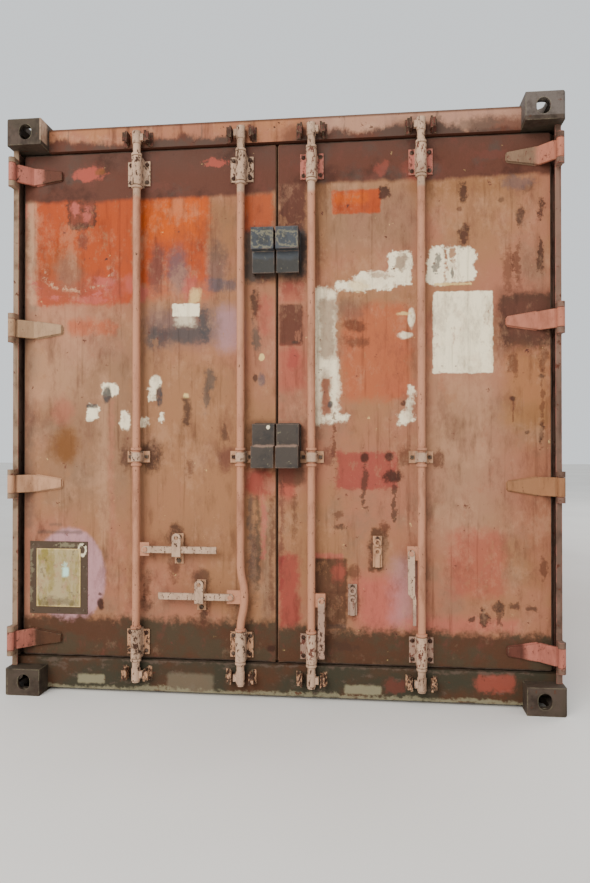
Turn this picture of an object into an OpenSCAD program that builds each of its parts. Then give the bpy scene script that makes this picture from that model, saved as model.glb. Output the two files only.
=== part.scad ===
// Dry freight container of the common 20 foot size, seen from its door end.
// Origin: centre of the footprint on the ground. The doors face -Y, +Z is up.
// Left and right are as seen by someone who stands in front of the doors.
// A depth is a distance in from an end face, an inset a distance in from a side face.

/* [Overall size] */
// Length over the corner castings
length = 6058; // [5400:1:7400]
// Width over the corner castings
width = 2438; // [2300:1:2600]
// Height over the corner castings
height = 2591; // [2438:1:2896]

/* [Corner castings] */
// Casting size across the container
casting_w = 162; // [150:1:175]
// Casting size along the container
casting_l = 178; // [170:1:190]
// Casting height
casting_h = 118; // [110:1:125]
// Thickness of the outer horizontal plate
casting_plate = 28; // [20:1:32]
// Thickness of the plate that meets the post
casting_cap = 16; // [8:1:20]
// Thickness of the end and side walls
casting_wall = 16; // [10:1:20]
// Thickness of the two inner walls
casting_back = 10; // [6:1:12]
// Radius of the outer upright edge and the outer long edge
casting_round = 12; // [4:1:16]
// Length of the twistlock slot
slot_length = 124.5; // [118:0.5:126]
// Width of the twistlock slot
slot_width = 63.5; // [58:0.5:66]
// Slot centre from the end face
slot_from_end = 101.5; // [98:0.5:104]
// Slot centre from the side face
slot_from_side = 89; // [80:0.5:95]
// Width of the lashing hole in the end face
end_hole_w = 56; // [40:1:64]
// Height of the lashing hole in the end face
end_hole_h = 68; // [65:1:72]
// Length of the lashing hole in the side face
side_hole_w = 79; // [70:1:90]
// Height of the lashing hole in the side face
side_hole_h = 51; // [40:1:60]
// Height of the lashing holes above the outer plate's face
side_hole_z = 60; // [58:1:64]

/* [Rear frame] */
// Inset of the rear posts from the side faces
post_inset = 5; // [3:1:8]
// Sheet thickness of the posts
post_t = 6; // [4:1:9]
// Inset of the inner edge of the post's front flange
flange_edge = 30; // [24:1:32]
// Depth of the post's front flange
flange_depth = 56; // [54:1:60]
// Depth of the shoulder that the door seals close on
shoulder_depth = 152; // [150:1:156]
// Inset of the clear door opening
post_inner = 52; // [48:1:60]
// Depth of the face of the header and the sill
header_depth = 84; // [82:1:88]
// Clearance of the header and the roof below the top of the castings
top_clear = 19; // [12:1:24]
// Wall thickness of the header and the sill
header_t = 6; // [4:1:9]
// Gap from the castings' underside down to the bottom of the header's box
header_drop = 3; // [1:1:6]
// Depth of the header's sealing lip below its box
header_lip = 24; // [20:1:40]
// Clearance of the base below the castings' own underside
base_clear = 14; // [10:1:20]
// Top of the rear sill
sill_top = 150; // [140:1:156]

/* [Floor and base] */
// Height of the floor's top above the ground
floor_top = 172; // [168:1:176]
// Thickness of the floor boards
floor_t = 28; // [21:1:30]
// Number of floor boards along the container
floor_boards = 5; // [3:1:7]
// Gap between two floor boards
floor_gap = 4; // [2:1:8]
// Gap between the floor boards and the posts' inner faces
floor_side = 1; // [0.5:0.5:4]
// Web thickness of the bottom side rails
rail_t = 5; // [4:1:7]
// Height of the bottom side rails
rail_h = 162; // [160:1:166]
// Flange width of the bottom side rails
rail_flange = 44; // [38:1:46]
// Side of the square top side rails
top_rail = 60; // [50:1:64]
// Wall of the top side rails
top_rail_t = 4; // [3:1:6]
// Height of the cross members' web is the room under the floor, this is its thickness
member_t = 5; // [4:1:7]
// Flange width of the cross members
member_flange = 45; // [40:1:60]
// Pitch of the cross members
member_pitch = 300; // [280:1:420]
// Distance between the centres of the two fork pockets
fork_pitch = 2080; // [2000:1:2120]
// Clear width of a fork pocket
fork_w = 360; // [340:1:380]
// Clear height of a fork pocket
fork_h = 115; // [110:1:116]

/* [Walls and roof] */
// Inset of the outer flats of the side walls
wall_inset = 12; // [9:1:14]
// Depth of the wall corrugation
wall_depth = 36; // [30:1:38]
// Sheet thickness of the walls and the roof
sheet_t = 2; // [1.6:0.1:3]
// Width of an outer flat of the side walls
wall_flat = 72; // [60:1:90]
// Width of a slope of the side walls
wall_slope = 68; // [50:1:70]
// Depth of the roof corrugation
roof_depth = 14; // [8:1:16]
// Width of a flat of the roof corrugation
roof_flat = 91; // [70:1:110]
// Width of a slope of the roof corrugation
roof_slope = 14; // [10:1:20]
// Distance from the roof sheet's long edges to its corrugations
roof_edge = 120; // [90:1:160]
// Inset of the inner face of the front posts
front_post_w = 52; // [48:1:60]
// Width of a ventilator cover
vent_w = 236; // [220:1:250]
// Height of a ventilator cover
vent_h = 96; // [80:1:120]
// Thickness of a ventilator cover
vent_t = 3; // [2:1:3]

/* [Doors] */
// Inset of the doors' hinge edge
door_edge = 40; // [38:1:44]
// Depth of the doors' outer face
door_depth = 100; // [98:1:102]
// Thickness of the door frame
door_t = 44; // [40:1:44]
// Gap between the two doors
door_gap = 14; // [14:1:18]
// Gap above and below the doors
door_clear = 12; // [11:1:14]
// Width of the door's frame sections
door_frame_w = 60; // [50:1:80]
// Thickness of the plywood and steel door sheet
door_sheet = 28; // [20:1:34]
// How far the seal stands out past the door's edge
seal_lip = 6; // [4:1:6]
// How far the seal stands out at the gap between the doors
seal_centre = 3; // [2:1:3]
// Depth of the seal's outer face
seal_depth = 126; // [120:1:130]
// Thickness of the seal behind the door frame
seal_back = 3; // [2:1:3]
// Least gap between pieces that move past each other
move_clear = 5; // [5:0.5:6]

/* [Hinges] */
// Inset of the hinge pins' axis
pin_inset = 17; // [16:1:19]
// Depth of the hinge pins' axis
pin_depth = 20; // [18:1:22]
// Radius of the hinge pins
pin_r = 9; // [7:0.5:10]
// Radial clearance of the hinge pins
pin_clear = 0.05; // [0.02:0.01:0.1]
// Outer radius of the hinge knuckles
knuckle_r = 16; // [15:0.5:16]
// Number of hinges on a door
hinge_count = 4; // [3:1:5]
// Height of a hinge blade at its knuckle
blade_h = 80; // [60:1:90]
// Height of a hinge blade at its tip
blade_tip_h = 36; // [24:1:50]
// Reach of a hinge blade from the pin
blade_l = 205; // [180:1:260]
// Thickness of a hinge blade
blade_t = 14; // [12:1:14]
// Height of a hinge lug on the post
lug_h = 24; // [18:1:30]
// Gap between a lug and the blade
lug_gap = 1.5; // [1:0.5:3]
// Lowest hinge above the door's lower edge
hinge_low = 75; // [72:1:120]
// Highest hinge below the door's upper edge
hinge_high = 98; // [80:1:120]

/* [Lock rods] */
// Outer rods from the centre line
outer_rod_x = 632; // [600:1:660]
// Inner rods from the centre line
inner_rod_x = 157; // [150:1:170]
// Depth of the rods' axes
rod_depth = 59; // [58:1:60]
// Radius of the rods
rod_r = 17; // [15:0.5:17]
// Distance from the rod ends to the top and the bottom
rod_end = 60; // [50:1:64]
// Radial clearance of the rods in their bearings
rod_clear = 0.05; // [0.02:0.01:0.1]
// Radius of the bearing housings
housing_r = 23; // [21:0.5:23]
// Height of the upper and lower bearing housings
housing_h = 128; // [100:1:140]
// Width of the bearing brackets
bracket_w = 104; // [80:1:120]
// Height of the upper and lower bracket plates
bracket_h = 112; // [90:1:120]
// Thickness of the bracket plates
bracket_t = 8; // [5:1:10]
// Height of the middle bracket plates
mid_bracket_h = 52; // [40:1:70]
// Height of the middle housings
mid_housing_h = 40; // [30:1:52]
// Height of the middle brackets above the ground
mid_bracket_z = 1068; // [900:1:1200]
// Distance of the lower brackets above the door's lower edge
bracket_low = 70; // [66:1:100]
// Distance of the upper brackets below the door's upper edge
bracket_high = 103; // [80:1:120]
// Reach of the cam noses from the rods' axes
cam_reach = 32; // [28:1:32]
// Thickness of the cam noses
cam_t = 20; // [14:1:22]
// Height of the cam noses
cam_h = 30; // [20:1:40]
// Half of the room between the two ears of a keeper
keeper_half = 39; // [38:1:44]
// Thickness of a keeper ear
keeper_t = 9; // [6:1:12]
// Height of a keeper ear
keeper_h = 50; // [40:1:56]
// Depth of the keepers' front edges
keeper_depth = 36; // [30:1:44]
// Lower keepers above the ground
keeper_low = 95; // [80:1:110]
// Upper keepers below the top
keeper_high = 86; // [76:1:92]
// How far the left inner rod is bent at its handle
rod_bend = 18; // [8:1:18]
// Length of the bent stretch on each side of the handle
rod_bend_l = 150; // [110:1:180]

/* [Handles] */
// Handle pivots from the rods' axes
pivot_x = 44; // [42:1:48]
// Radius of the handle pivots
pivot_r = 7; // [5:0.5:8]
// Radial clearance of the handle pivots
pivot_clear = 0.05; // [0.02:0.01:0.1]
// Radius of the pivots' heads
pivot_head_r = 11; // [9:0.5:12]
// Thickness of the pivots' heads
pivot_head_t = 4; // [2:0.5:6]
// Half height of the handle hubs
hub_half = 30; // [24:1:34]
// Edge of a hub beyond the handle's round eye
hub_edge = 2; // [1:0.5:4]
// Depth of the hubs' front face
hub_depth = 57; // [56:1:58]
// Thickness of the hubs
hub_t = 12; // [10:1:14]
// Thickness of the handles
handle_t = 12; // [8:1:14]
// Width of the handles
handle_w = 30; // [24:1:30]
// Gap between a hub and its handle
handle_gap = 0.5; // [0.3:0.1:1]
// Reach of the two left handles from their pivots
left_handle_l = 325; // [280:1:330]
// Reach of the right inner handle from its pivot
right_inner_handle_l = 250; // [220:1:256]
// Reach of the right outer handle from its pivot
right_outer_handle_l = 308; // [280:1:320]
// Where the right outer handle is bent, from its pivot
handle_bend_l = 172; // [150:1:200]
// How far the right outer handle is bent towards its rod
handle_bend = 13; // [6:1:13]
// Width of the bent end of the right outer handle
handle_end_w = 14; // [10:1:16]
// Handle level of the outer rods above the ground
outer_handle_z = 655; // [620:1:700]
// Handle level of the left inner rod above the ground
left_inner_handle_z = 449; // [430:1:500]
// Handle level of the right inner rod above the ground
right_inner_handle_z = 443; // [430:1:500]
// Width of a handle retainer
retainer_w = 40; // [30:1:50]
// Height of a handle retainer
retainer_h = 136; // [100:1:150]
// Thickness of a retainer's base plate
retainer_t = 8; // [5:1:10]
// Left outer retainer from the centre line
left_outer_retainer_x = 443; // [420:1:460]
// Left inner retainer from the centre line
left_inner_retainer_x = 340; // [320:1:360]
// Right outer retainer from the centre line
right_outer_retainer_x = 444; // [420:1:470]
// Right inner retainer from the centre line
right_inner_retainer_x = 335; // [320:1:350]
// Thickness of a retainer's shelf
shelf_t = 10; // [6:1:14]
// Gap between a shelf and the handle that rests on it
shelf_gap = 0.5; // [0.3:0.1:1]
// Thickness of the catch on a handle
catch_t = 6; // [4:1:6]
// Height of the catch on a handle
catch_h = 104; // [60:1:110]
// Radius of the seal hole in a catch
catch_hole_r = 9; // [5:0.5:12]
// Radius of the bosses on the right door's retainers
boss_r = 17; // [14:0.5:20]
// Height of the bosses above the door
boss_h = 18; // [12:1:24]
// Radius of the holes in the bosses
boss_hole_r = 8; // [4:0.5:10]

/* [Lock boxes and plate] */
// Gap between the two halves of a lock box
box_gap = 8; // [8:1:12]
// Width of half a lock box
box_w = 100; // [80:1:110]
// Height of a tier of a lock box
box_tier = 97; // [80:1:110]
// Depth of the front of the low tier
box_low_depth = 45; // [40:1:60]
// Depth of the front of the high tier
box_high_depth = 8; // [4:1:30]
// Wall thickness of a lock box
box_t = 6; // [4:1:8]
// Ledge of the upper lock box above the ground
upper_box_z = 1972; // [1900:1:2000]
// Ledge of the lower lock box above the ground
lower_box_z = 1117; // [1090:1:1160]
// Width of the data plate's frame
plate_w = 276; // [200:1:300]
// Height of the data plate's frame
plate_h = 332; // [280:1:350]
// Width of the border of the data plate's frame
plate_border = 33; // [20:1:40]
// Distance of the data plate's frame from the door's hinge edge
plate_edge = 29; // [10:1:60]
// Centre of the data plate above the ground
plate_z = 512; // [480:1:540]
// Thickness of the data plate's frame
plate_t = 3; // [2:1:5]

/* [Hidden] */

$fn = 48;

rear_y = -length / 2;
side_x = -width / 2;
post_top = height - casting_h;
header_top = height - top_clear;
header_low = post_top - header_drop;
header_lip_low = header_low - header_lip;
rail_top = base_clear + rail_h;
frame_end = length / 2 - casting_l;
roof_z = header_top - roof_depth - sheet_t;
top_rail_low = roof_z - top_rail;
floor_low = floor_top - floor_t;
door_low = sill_top + door_clear;
door_high = header_low - door_clear;
door_out = width / 2 - door_edge;
door_in = door_gap / 2;
fork_low = base_clear + 2 * rail_t;

// How far a cut runs past the faces that it opens
over = 1;
// How far two shapes of one piece run into each other
bite = 1;

rust = "#8a5a41";
tan = "#ba8e74";
dark = "#5f564f";
olive = "#5a503e";
pale = "#be9b8a";
steel_blue = "#4b5055";
brass = "#8f8355";
black = "#2b2a29";
timber = "#8b6b45";

// A box between two corners
module span(low, high) {
    translate(low)
        cube(high - low);
}

// What is written for the left side, put on the left or on the right
module on_side(side) {
    if (side < 0)
        children();
    else
        mirror([1, 0, 0])
            children();
}

// What is written for the left side, on both
module both_sides() {
    for (side = [-1, 1])
        on_side(side)
            children();
}

// What is written for the rear end, at the front end
module at_front() {
    mirror([0, 1, 0])
        children();
}

// A hole with half-round ends, long in X, along Z from the plane z = 0
module slot_prism(long, wide, thick) {
    linear_extrude(thick)
        union() {
            square([long - wide, wide], center = true);
            for (end = [-1, 1])
                translate([end * (long - wide) / 2, 0])
                    circle(d = wide);
        }
}

// A rectangle from the origin whose corner at the origin is rounded
module rounded_corner(w, h, r) {
    union() {
        translate([r, 0])
            square([w - r, h]);
        translate([0, r])
            square([w, h - r]);
        translate([r, r])
            circle(r);
    }
}

// One corner casting: outer corner at the origin, outer plate at z = 0, body towards +X, +Y, +Z
module casting() {
    cavity_h = casting_h - casting_plate - casting_cap;
    difference() {
        intersection() {
            linear_extrude(casting_h)
                rounded_corner(casting_w, casting_l, casting_round);
            translate([0, casting_l, 0])
                rotate([90, 0, 0])
                    linear_extrude(casting_l)
                        rounded_corner(casting_w, casting_h, casting_round);
        }
        translate([casting_wall, casting_wall, casting_plate])
            cube([casting_w - casting_wall - casting_back,
                casting_l - casting_wall - casting_back, cavity_h]);
        translate([slot_from_side, slot_from_end, -over])
            rotate(90)
                slot_prism(slot_length, slot_width, casting_plate + 2 * over);
        translate([slot_from_side, casting_wall + over, side_hole_z])
            rotate([90, 90, 0])
                slot_prism(end_hole_h, end_hole_w, casting_wall + 2 * over);
        translate([casting_wall + over, slot_from_end, side_hole_z])
            rotate([0, -90, 0])
                rotate(90)
                    slot_prism(side_hole_w, side_hole_h, casting_wall + 2 * over);
    }
}

// The two castings of the rear end's bottom corners
module bottom_castings() {
    color(dark)
        both_sides()
            translate([side_x, rear_y, 0])
                casting();
}

// The two castings of the rear end's top corners
module top_castings() {
    color(dark)
        both_sides()
            translate([side_x, rear_y, height])
                mirror([0, 0, 1])
                    casting();
}

module rear_top_castings() {
    top_castings();
}

module rear_bottom_castings() {
    bottom_castings();
}

module front_top_castings() {
    at_front()
        top_castings();
}

module front_bottom_castings() {
    at_front()
        bottom_castings();
}

// A post that keeps a recess for the door: front flange, side plate and a hollow shoulder
module rear_post() {
    side = post_inset + post_t;
    translate([side_x, rear_y, casting_h])
        linear_extrude(post_top - casting_h)
            difference() {
                polygon([
                    [post_inset, flange_depth],
                    [flange_edge, flange_depth],
                    [flange_edge, flange_depth + post_t],
                    [side, flange_depth + post_t],
                    [side, shoulder_depth],
                    [post_inner, shoulder_depth],
                    [post_inner, casting_l],
                    [post_inset, casting_l],
                ]);
                translate([side, shoulder_depth + post_t])
                    square([post_inner - side - post_t, casting_l - shoulder_depth - 2 * post_t]);
            }
}

module rear_posts() {
    color(dark)
        both_sides()
            rear_post();
}

module front_posts() {
    color(tan)
        at_front()
            both_sides()
                translate([side_x, rear_y, casting_h])
                    linear_extrude(post_top - casting_h)
                        difference() {
                            translate([post_inset, post_inset])
                                square([front_post_w - post_inset, casting_l - post_inset]);
                            translate([post_inset + post_t, post_inset + post_t])
                                square([front_post_w - post_inset - 2 * post_t,
                                    casting_l - post_inset - 2 * post_t]);
                        }
}

// Hollow box over the doors, with the sealing lip behind their top edge
module rear_header() {
    half = width / 2 - casting_w;
    lip_half = width / 2 - post_inner;
    back = rear_y + casting_l;
    color(tan)
        difference() {
            union() {
                span([-half, rear_y + header_depth, header_low], [half, back, header_top]);
                span([-lip_half, rear_y + shoulder_depth, header_lip_low], [lip_half, back, post_top]);
            }
            span([-half - over, rear_y + header_depth + header_t, header_low + header_t],
                [half + over, back - header_t, header_top - header_t]);
        }
}

// Hollow box under the doors, with the threshold lip behind their lower edge
module rear_sill() {
    half = width / 2 - casting_w;
    lip_half = width / 2 - post_inner;
    wing_half = width / 2 - post_inset - post_t;
    back = rear_y + casting_l;
    color(olive)
        difference() {
            union() {
                span([-half, rear_y + header_depth, base_clear], [half, back, sill_top]);
                span([-wing_half, rear_y + header_depth, casting_h],
                    [wing_half, rear_y + shoulder_depth, sill_top]);
                span([-lip_half, rear_y + shoulder_depth - bite, casting_h], [lip_half, back, floor_top]);
            }
            span([-half - over, rear_y + header_depth + header_t, base_clear + header_t],
                [half + over, back - header_t, casting_h - header_t]);
        }
}

module front_header() {
    half = width / 2 - casting_w;
    lip_half = width / 2 - front_post_w;
    face = rear_y + post_inset;
    back = face + top_rail;
    color(tan)
        at_front()
            difference() {
                union() {
                    span([-half, face, post_top - bite], [half, back, header_top]);
                    span([-lip_half, face, header_lip_low], [lip_half, back, post_top]);
                }
                span([-half - over, face + header_t, post_top + header_t],
                    [half + over, back - header_t, header_top - header_t]);
            }
}

module front_sill() {
    half = width / 2 - casting_w;
    lip_half = width / 2 - front_post_w;
    face = rear_y + post_inset;
    back = face + top_rail;
    color(tan)
        at_front()
            difference() {
                union() {
                    span([-half, face, base_clear], [half, back, casting_h + bite]);
                    span([-lip_half, face, casting_h], [lip_half, back, floor_top]);
                }
                span([-half - over, face + header_t, base_clear + header_t],
                    [half + over, back - header_t, casting_h - header_t]);
            }
}

module top_side_rails() {
    outer = [top_rail, 2 * frame_end, top_rail];
    bore = [top_rail - 2 * top_rail_t, 2 * (frame_end + over), top_rail - 2 * top_rail_t];
    color(tan)
        both_sides()
            translate([side_x + post_inset, -frame_end, top_rail_low])
                difference() {
                    cube(outer);
                    translate([top_rail_t, -over, top_rail_t])
                        cube(bore);
                }
}

// A channel that is open inwards, with its web cut through at the fork pockets
module bottom_side_rails() {
    color(tan)
        both_sides()
            difference() {
                translate([side_x + post_inset, frame_end, base_clear])
                    rotate([90, 0, 0])
                        linear_extrude(2 * frame_end)
                            difference() {
                                square([rail_flange, rail_h]);
                                translate([rail_t, rail_t])
                                    square([rail_flange, rail_h - 2 * rail_t]);
                            }
                for (end = [-1, 1])
                    translate([side_x, end * fork_pitch / 2 - fork_w / 2, fork_low])
                        cube([post_inset + rail_t + over, fork_w, fork_h]);
            }
}

// Corner points of a corrugated sheet's outer line along a run from 0 to count * pitch
function wave(count, flat, slope, depth) = [
    for (i = [0:count - 1])
        for (p = [[0, 0], [flat, 0], [flat + slope, depth], [2 * flat + slope, depth]])
            [i * 2 * (flat + slope) + p[0], p[1]]
];

// A closed outline: the wave there, and back again one sheet further in
module wave_sheet(count, flat, slope, depth) {
    line = concat(wave(count, flat, slope, depth), [[count * 2 * (flat + slope), 0],
        [count * 2 * (flat + slope) + flat, 0]]);
    last = len(line) - 1;
    polygon(concat(line, [for (i = [0:last]) [line[last - i][0], line[last - i][1] + sheet_t]]));
}

// A corrugated wall that fills a run: as many waves as fit, the flats take up the rest
module wave_wall(run, flat, slope, depth) {
    count = floor((run - flat) / (2 * (flat + slope)));
    fitted = (run - 2 * count * slope) / (2 * count + 1);
    wave_sheet(count, fitted, slope, depth);
}

// The left wall stands on the bottom rail's upper flange
module side_wall() {
    color(tan)
        translate([side_x + wall_inset, -frame_end, rail_top])
            linear_extrude(top_rail_low - rail_top)
                mirror([1, 0])
                    rotate(90)
                        wave_wall(2 * frame_end, wall_flat, wall_slope, wall_depth - sheet_t);
}

module left_wall() {
    on_side(-1)
        side_wall();
}

module right_wall() {
    on_side(1)
        side_wall();
}

module front_wall() {
    half = width / 2 - front_post_w;
    color(tan)
        at_front()
            translate([-half, rear_y + wall_inset, floor_top])
                linear_extrude(header_lip_low - floor_top)
                    wave_wall(2 * half, wall_flat, wall_slope, wall_depth - sheet_t);
}

// Flat border with cross corrugations inside it, closed at both ends of each wave
module roof() {
    half = width / 2 - post_inset;
    wave_half = half - roof_edge;
    run = 2 * frame_end;
    strip_half = width / 2 - casting_w;
    front_y = length / 2 - post_inset - top_rail;
    pitch = 2 * (roof_flat + roof_slope);
    count = floor((run - roof_flat) / pitch);
    flat = (run - 2 * count * roof_slope) / (2 * count + 1);
    color(rust)
        union() {
            for (side = [-1, 1])
                translate([side < 0 ? -half : wave_half, -frame_end, roof_z])
                    cube([roof_edge, run, sheet_t]);
            translate([wave_half, -frame_end, roof_z])
                rotate([90, 0, -90])
                    mirror([1, 0, 0])
                        linear_extrude(2 * wave_half)
                            wave_sheet(count, flat, roof_slope, roof_depth);
            for (side = [-1, 1])
                for (i = [0:count - 1])
                    translate([side * wave_half + sheet_t / 2,
                        -frame_end + i * 2 * (flat + roof_slope) + flat, roof_z])
                        rotate([90, 0, -90])
                            mirror([1, 0, 0])
                                linear_extrude(sheet_t)
                                    polygon([[0, 0], [roof_slope, roof_depth + sheet_t],
                                        [roof_slope + flat, roof_depth + sheet_t],
                                        [2 * roof_slope + flat, 0]]);
            span([-strip_half, frame_end - bite, roof_z], [strip_half, front_y, roof_z + sheet_t]);
        }
}

// Channels across the base, left out where a fork pocket is
module cross_members() {
    half = width / 2 - post_inset - rail_t;
    low = base_clear + rail_t;
    tall = floor_low - low;
    count = floor((frame_end - member_flange) / member_pitch);
    clear = fork_w / 2 + rail_t + member_flange;
    color(olive)
        for (i = [-count:count])
            if (abs(abs(i * member_pitch) - fork_pitch / 2) > clear)
                translate([-half, i * member_pitch - member_flange / 2, low])
                    rotate([90, 0, 90])
                        linear_extrude(2 * half)
                            difference() {
                                square([member_flange, tall]);
                                translate([member_t, member_t])
                                    square([member_flange, tall - 2 * member_t]);
                            }
}

// Two tunnels across the base: a top plate on two side plates
module fork_pockets() {
    half = width / 2 - post_inset - rail_t;
    low = base_clear + rail_t;
    color(olive)
        for (end = [-1, 1])
            translate([-half, end * fork_pitch / 2, low])
                rotate([90, 0, 90])
                    linear_extrude(2 * half)
                        difference() {
                            translate([-fork_w / 2 - rail_t, 0])
                                square([fork_w + 2 * rail_t, floor_low - low]);
                            translate([-fork_w / 2, -over])
                                square([fork_w, fork_low + fork_h - low + over]);
                        }
}

module floor_boards() {
    half = width / 2 - post_inner - floor_side;
    start = rear_y + casting_l;
    finish = length / 2 - post_inset - top_rail;
    board = (finish - start - (floor_boards - 1) * floor_gap) / floor_boards;
    color(timber)
        for (i = [0:floor_boards - 1])
            translate([-half, start + i * (board + floor_gap), floor_low])
                cube([2 * half, board, floor_t]);
}

// Flat ventilator covers on the outer flats, near both ends of each wall
module side_vents() {
    color(black)
        both_sides()
            for (end = [-1, 1])
                translate([side_x + wall_inset - vent_t, end * (frame_end - 2 * vent_w) - vent_w / 2,
                    top_rail_low - vent_h - vent_w / 2])
                    cube([vent_t, vent_w, vent_h]);
}

// Heights of the hinges' middles
function hinge_z(i) =
    door_low + hinge_low + i * (door_high - hinge_high - door_low - hinge_low) / (hinge_count - 1);

// Two lugs and the pin between them at each hinge, on the left post's flange
module hinge_lugs() {
    color(dark)
        for (i = [0:hinge_count - 1])
            translate([side_x + pin_inset, rear_y + pin_depth, hinge_z(i)])
                union() {
                    for (end = [-1, 1])
                        translate([0, 0, end * (blade_h / 2 + lug_gap + lug_h / 2) - lug_h / 2])
                            linear_extrude(lug_h)
                                union() {
                                    circle(r = knuckle_r);
                                    translate([post_inset - pin_inset, 0])
                                        square([flange_edge - post_inset, flange_depth - pin_depth]);
                                }
                    cylinder(r = pin_r, h = blade_h + 2 * lug_gap + lug_h, center = true);
                }
}

module left_hinge_lugs() {
    on_side(-1)
        hinge_lugs();
}

module right_hinge_lugs() {
    on_side(1)
        hinge_lugs();
}

// The blade leaves the knuckle before the post's flange, slopes back at 45 degrees, and lies
// in the door's face from there to its narrower tip
module hinge_blade() {
    face = door_depth - pin_depth;
    near = flange_depth - pin_depth - move_clear - blade_t;
    bend = flange_edge - pin_inset + move_clear;
    land = bend + face - near - blade_t;
    mitre = blade_t * tan(45 / 2);
    difference() {
        union() {
            intersection() {
                linear_extrude(blade_h, center = true)
                    polygon([
                        [0, near],
                        [bend + mitre, near],
                        [land + mitre, face - blade_t],
                        [blade_l, face - blade_t],
                        [blade_l, face],
                        [land, face],
                        [bend, near + blade_t],
                        [0, near + blade_t],
                    ]);
                translate([0, face + over, 0])
                    rotate([90, 0, 0])
                        linear_extrude(face + over + knuckle_r)
                            polygon([
                                [-knuckle_r, -blade_h / 2],
                                [land, -blade_h / 2],
                                [blade_l + over, -blade_tip_h / 2],
                                [blade_l + over, blade_tip_h / 2],
                                [land, blade_h / 2],
                                [-knuckle_r, blade_h / 2],
                            ]);
            }
            translate([-knuckle_r / 2, 0, -blade_h / 2])
                cube([knuckle_r, near + bite, blade_h]);
            cylinder(r = knuckle_r, h = blade_h, center = true);
        }
        cylinder(r = pin_r + pin_clear, h = blade_h + 2 * over, center = true);
    }
}

module hinge_blades() {
    color(pale)
        for (i = [0:hinge_count - 1])
            translate([side_x + pin_inset, rear_y + pin_depth, hinge_z(i)])
                hinge_blade();
}

module left_hinge_blades() {
    on_side(-1)
        hinge_blades();
}

module right_hinge_blades() {
    on_side(1)
        hinge_blades();
}

// One ear on each side of a rod end, welded to the header or the sill
module keeper_ears(z) {
    color(pale)
        both_sides()
            for (x = [inner_rod_x, outer_rod_x])
                for (side = [-1, 1])
                    translate([-x + side * (keeper_half + keeper_t / 2) - keeper_t / 2,
                        rear_y + keeper_depth, z - keeper_h / 2])
                        cube([keeper_t, header_depth - keeper_depth, keeper_h]);
}

module upper_keepers() {
    keeper_ears(height - keeper_high);
}

module lower_keepers() {
    keeper_ears(keeper_low);
}

// Welded frame around a door sheet, left door
module door_frame() {
    w = door_frame_w;
    face = rear_y + door_depth;
    color(tan)
        difference() {
            span([-door_out, face, door_low], [-door_in, face + door_t, door_high]);
            span([-door_out + w, face - over, door_low + w],
                [-door_in - w, face + door_t + over, door_high - w]);
        }
}

module left_door_frame() {
    on_side(-1)
        door_frame();
}

module right_door_frame() {
    on_side(1)
        door_frame();
}

// Flat plywood and steel sheet, level with the frame's outer face, left door
module door_panel() {
    w = door_frame_w;
    face = rear_y + door_depth;
    color(tan)
        span([-door_out + w, face, door_low + w], [-door_in - w, face + door_sheet, door_high - w]);
}

module left_door_sheet() {
    on_side(-1)
        door_panel();
}

module right_door_sheet() {
    on_side(1)
        door_panel();
}

// Rubber strip around a door's edge, with a lip behind the frame
module seal() {
    outer = rear_y + seal_depth;
    frame_back = rear_y + door_depth + door_t;
    inner = door_frame_w / 3;
    color(black)
        difference() {
            span([-door_out - seal_lip, outer, door_low - seal_lip],
                [-door_in + seal_centre, frame_back + seal_back, door_high + seal_lip]);
            span([-door_out, outer - over, door_low], [-door_in, frame_back, door_high]);
            span([-door_out + inner, outer, door_low + inner],
                [-door_in - inner, frame_back + seal_back + over, door_high - inner]);
        }
}

module left_seal() {
    on_side(-1)
        seal();
}

module right_seal() {
    on_side(1)
        seal();
}

// A plate on the door with a round-nosed housing that the rod turns in
module rod_bracket(plate_tall, housing_tall) {
    reach = door_depth - rod_depth;
    difference() {
        union() {
            translate([-bracket_w / 2, reach - bracket_t, -plate_tall / 2])
                cube([bracket_w, bracket_t, plate_tall]);
            linear_extrude(housing_tall, center = true)
                union() {
                    circle(r = housing_r);
                    translate([-housing_r, 0])
                        square([2 * housing_r, reach]);
                }
        }
        cylinder(r = rod_r + rod_clear, h = housing_tall + 2 * over, center = true);
    }
}

module rod_brackets() {
    color(pale)
        for (x = [inner_rod_x, outer_rod_x])
            translate([-x, rear_y + rod_depth, 0]) {
                translate([0, 0, door_low + bracket_low])
                    rod_bracket(bracket_h, housing_h);
                translate([0, 0, mid_bracket_z])
                    rod_bracket(mid_bracket_h, mid_housing_h);
                translate([0, 0, door_high - bracket_high])
                    rod_bracket(bracket_h, housing_h);
            }
}

module left_rod_brackets() {
    on_side(-1)
        rod_brackets();
}

module right_rod_brackets() {
    on_side(1)
        rod_brackets();
}

// The cam nose at a rod end, towards the handle's side
module cam(side) {
    translate([side * cam_reach / 2, 0, 0])
        cube([cam_reach, cam_t, cam_h], center = true);
}

// Hub plate and pivot of a handle, on the rod's axis at the handle's level
module hub(side, from_x) {
    plate = hub_depth - rod_depth;
    far = pivot_x + handle_w / 2 + hub_edge;
    span([min(from_x, side * far), plate, -hub_half], [max(from_x, side * far), plate + hub_t, hub_half]);
    translate([side * pivot_x, plate + bite, 0])
        rotate([90, 0, 0])
            cylinder(r = pivot_r, h = handle_t + 2 * handle_gap + 2 * bite);
    translate([side * pivot_x, plate - handle_gap - handle_t - handle_gap, 0])
        rotate([90, 0, 0])
            cylinder(r = pivot_head_r, h = pivot_head_t);
}

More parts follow.
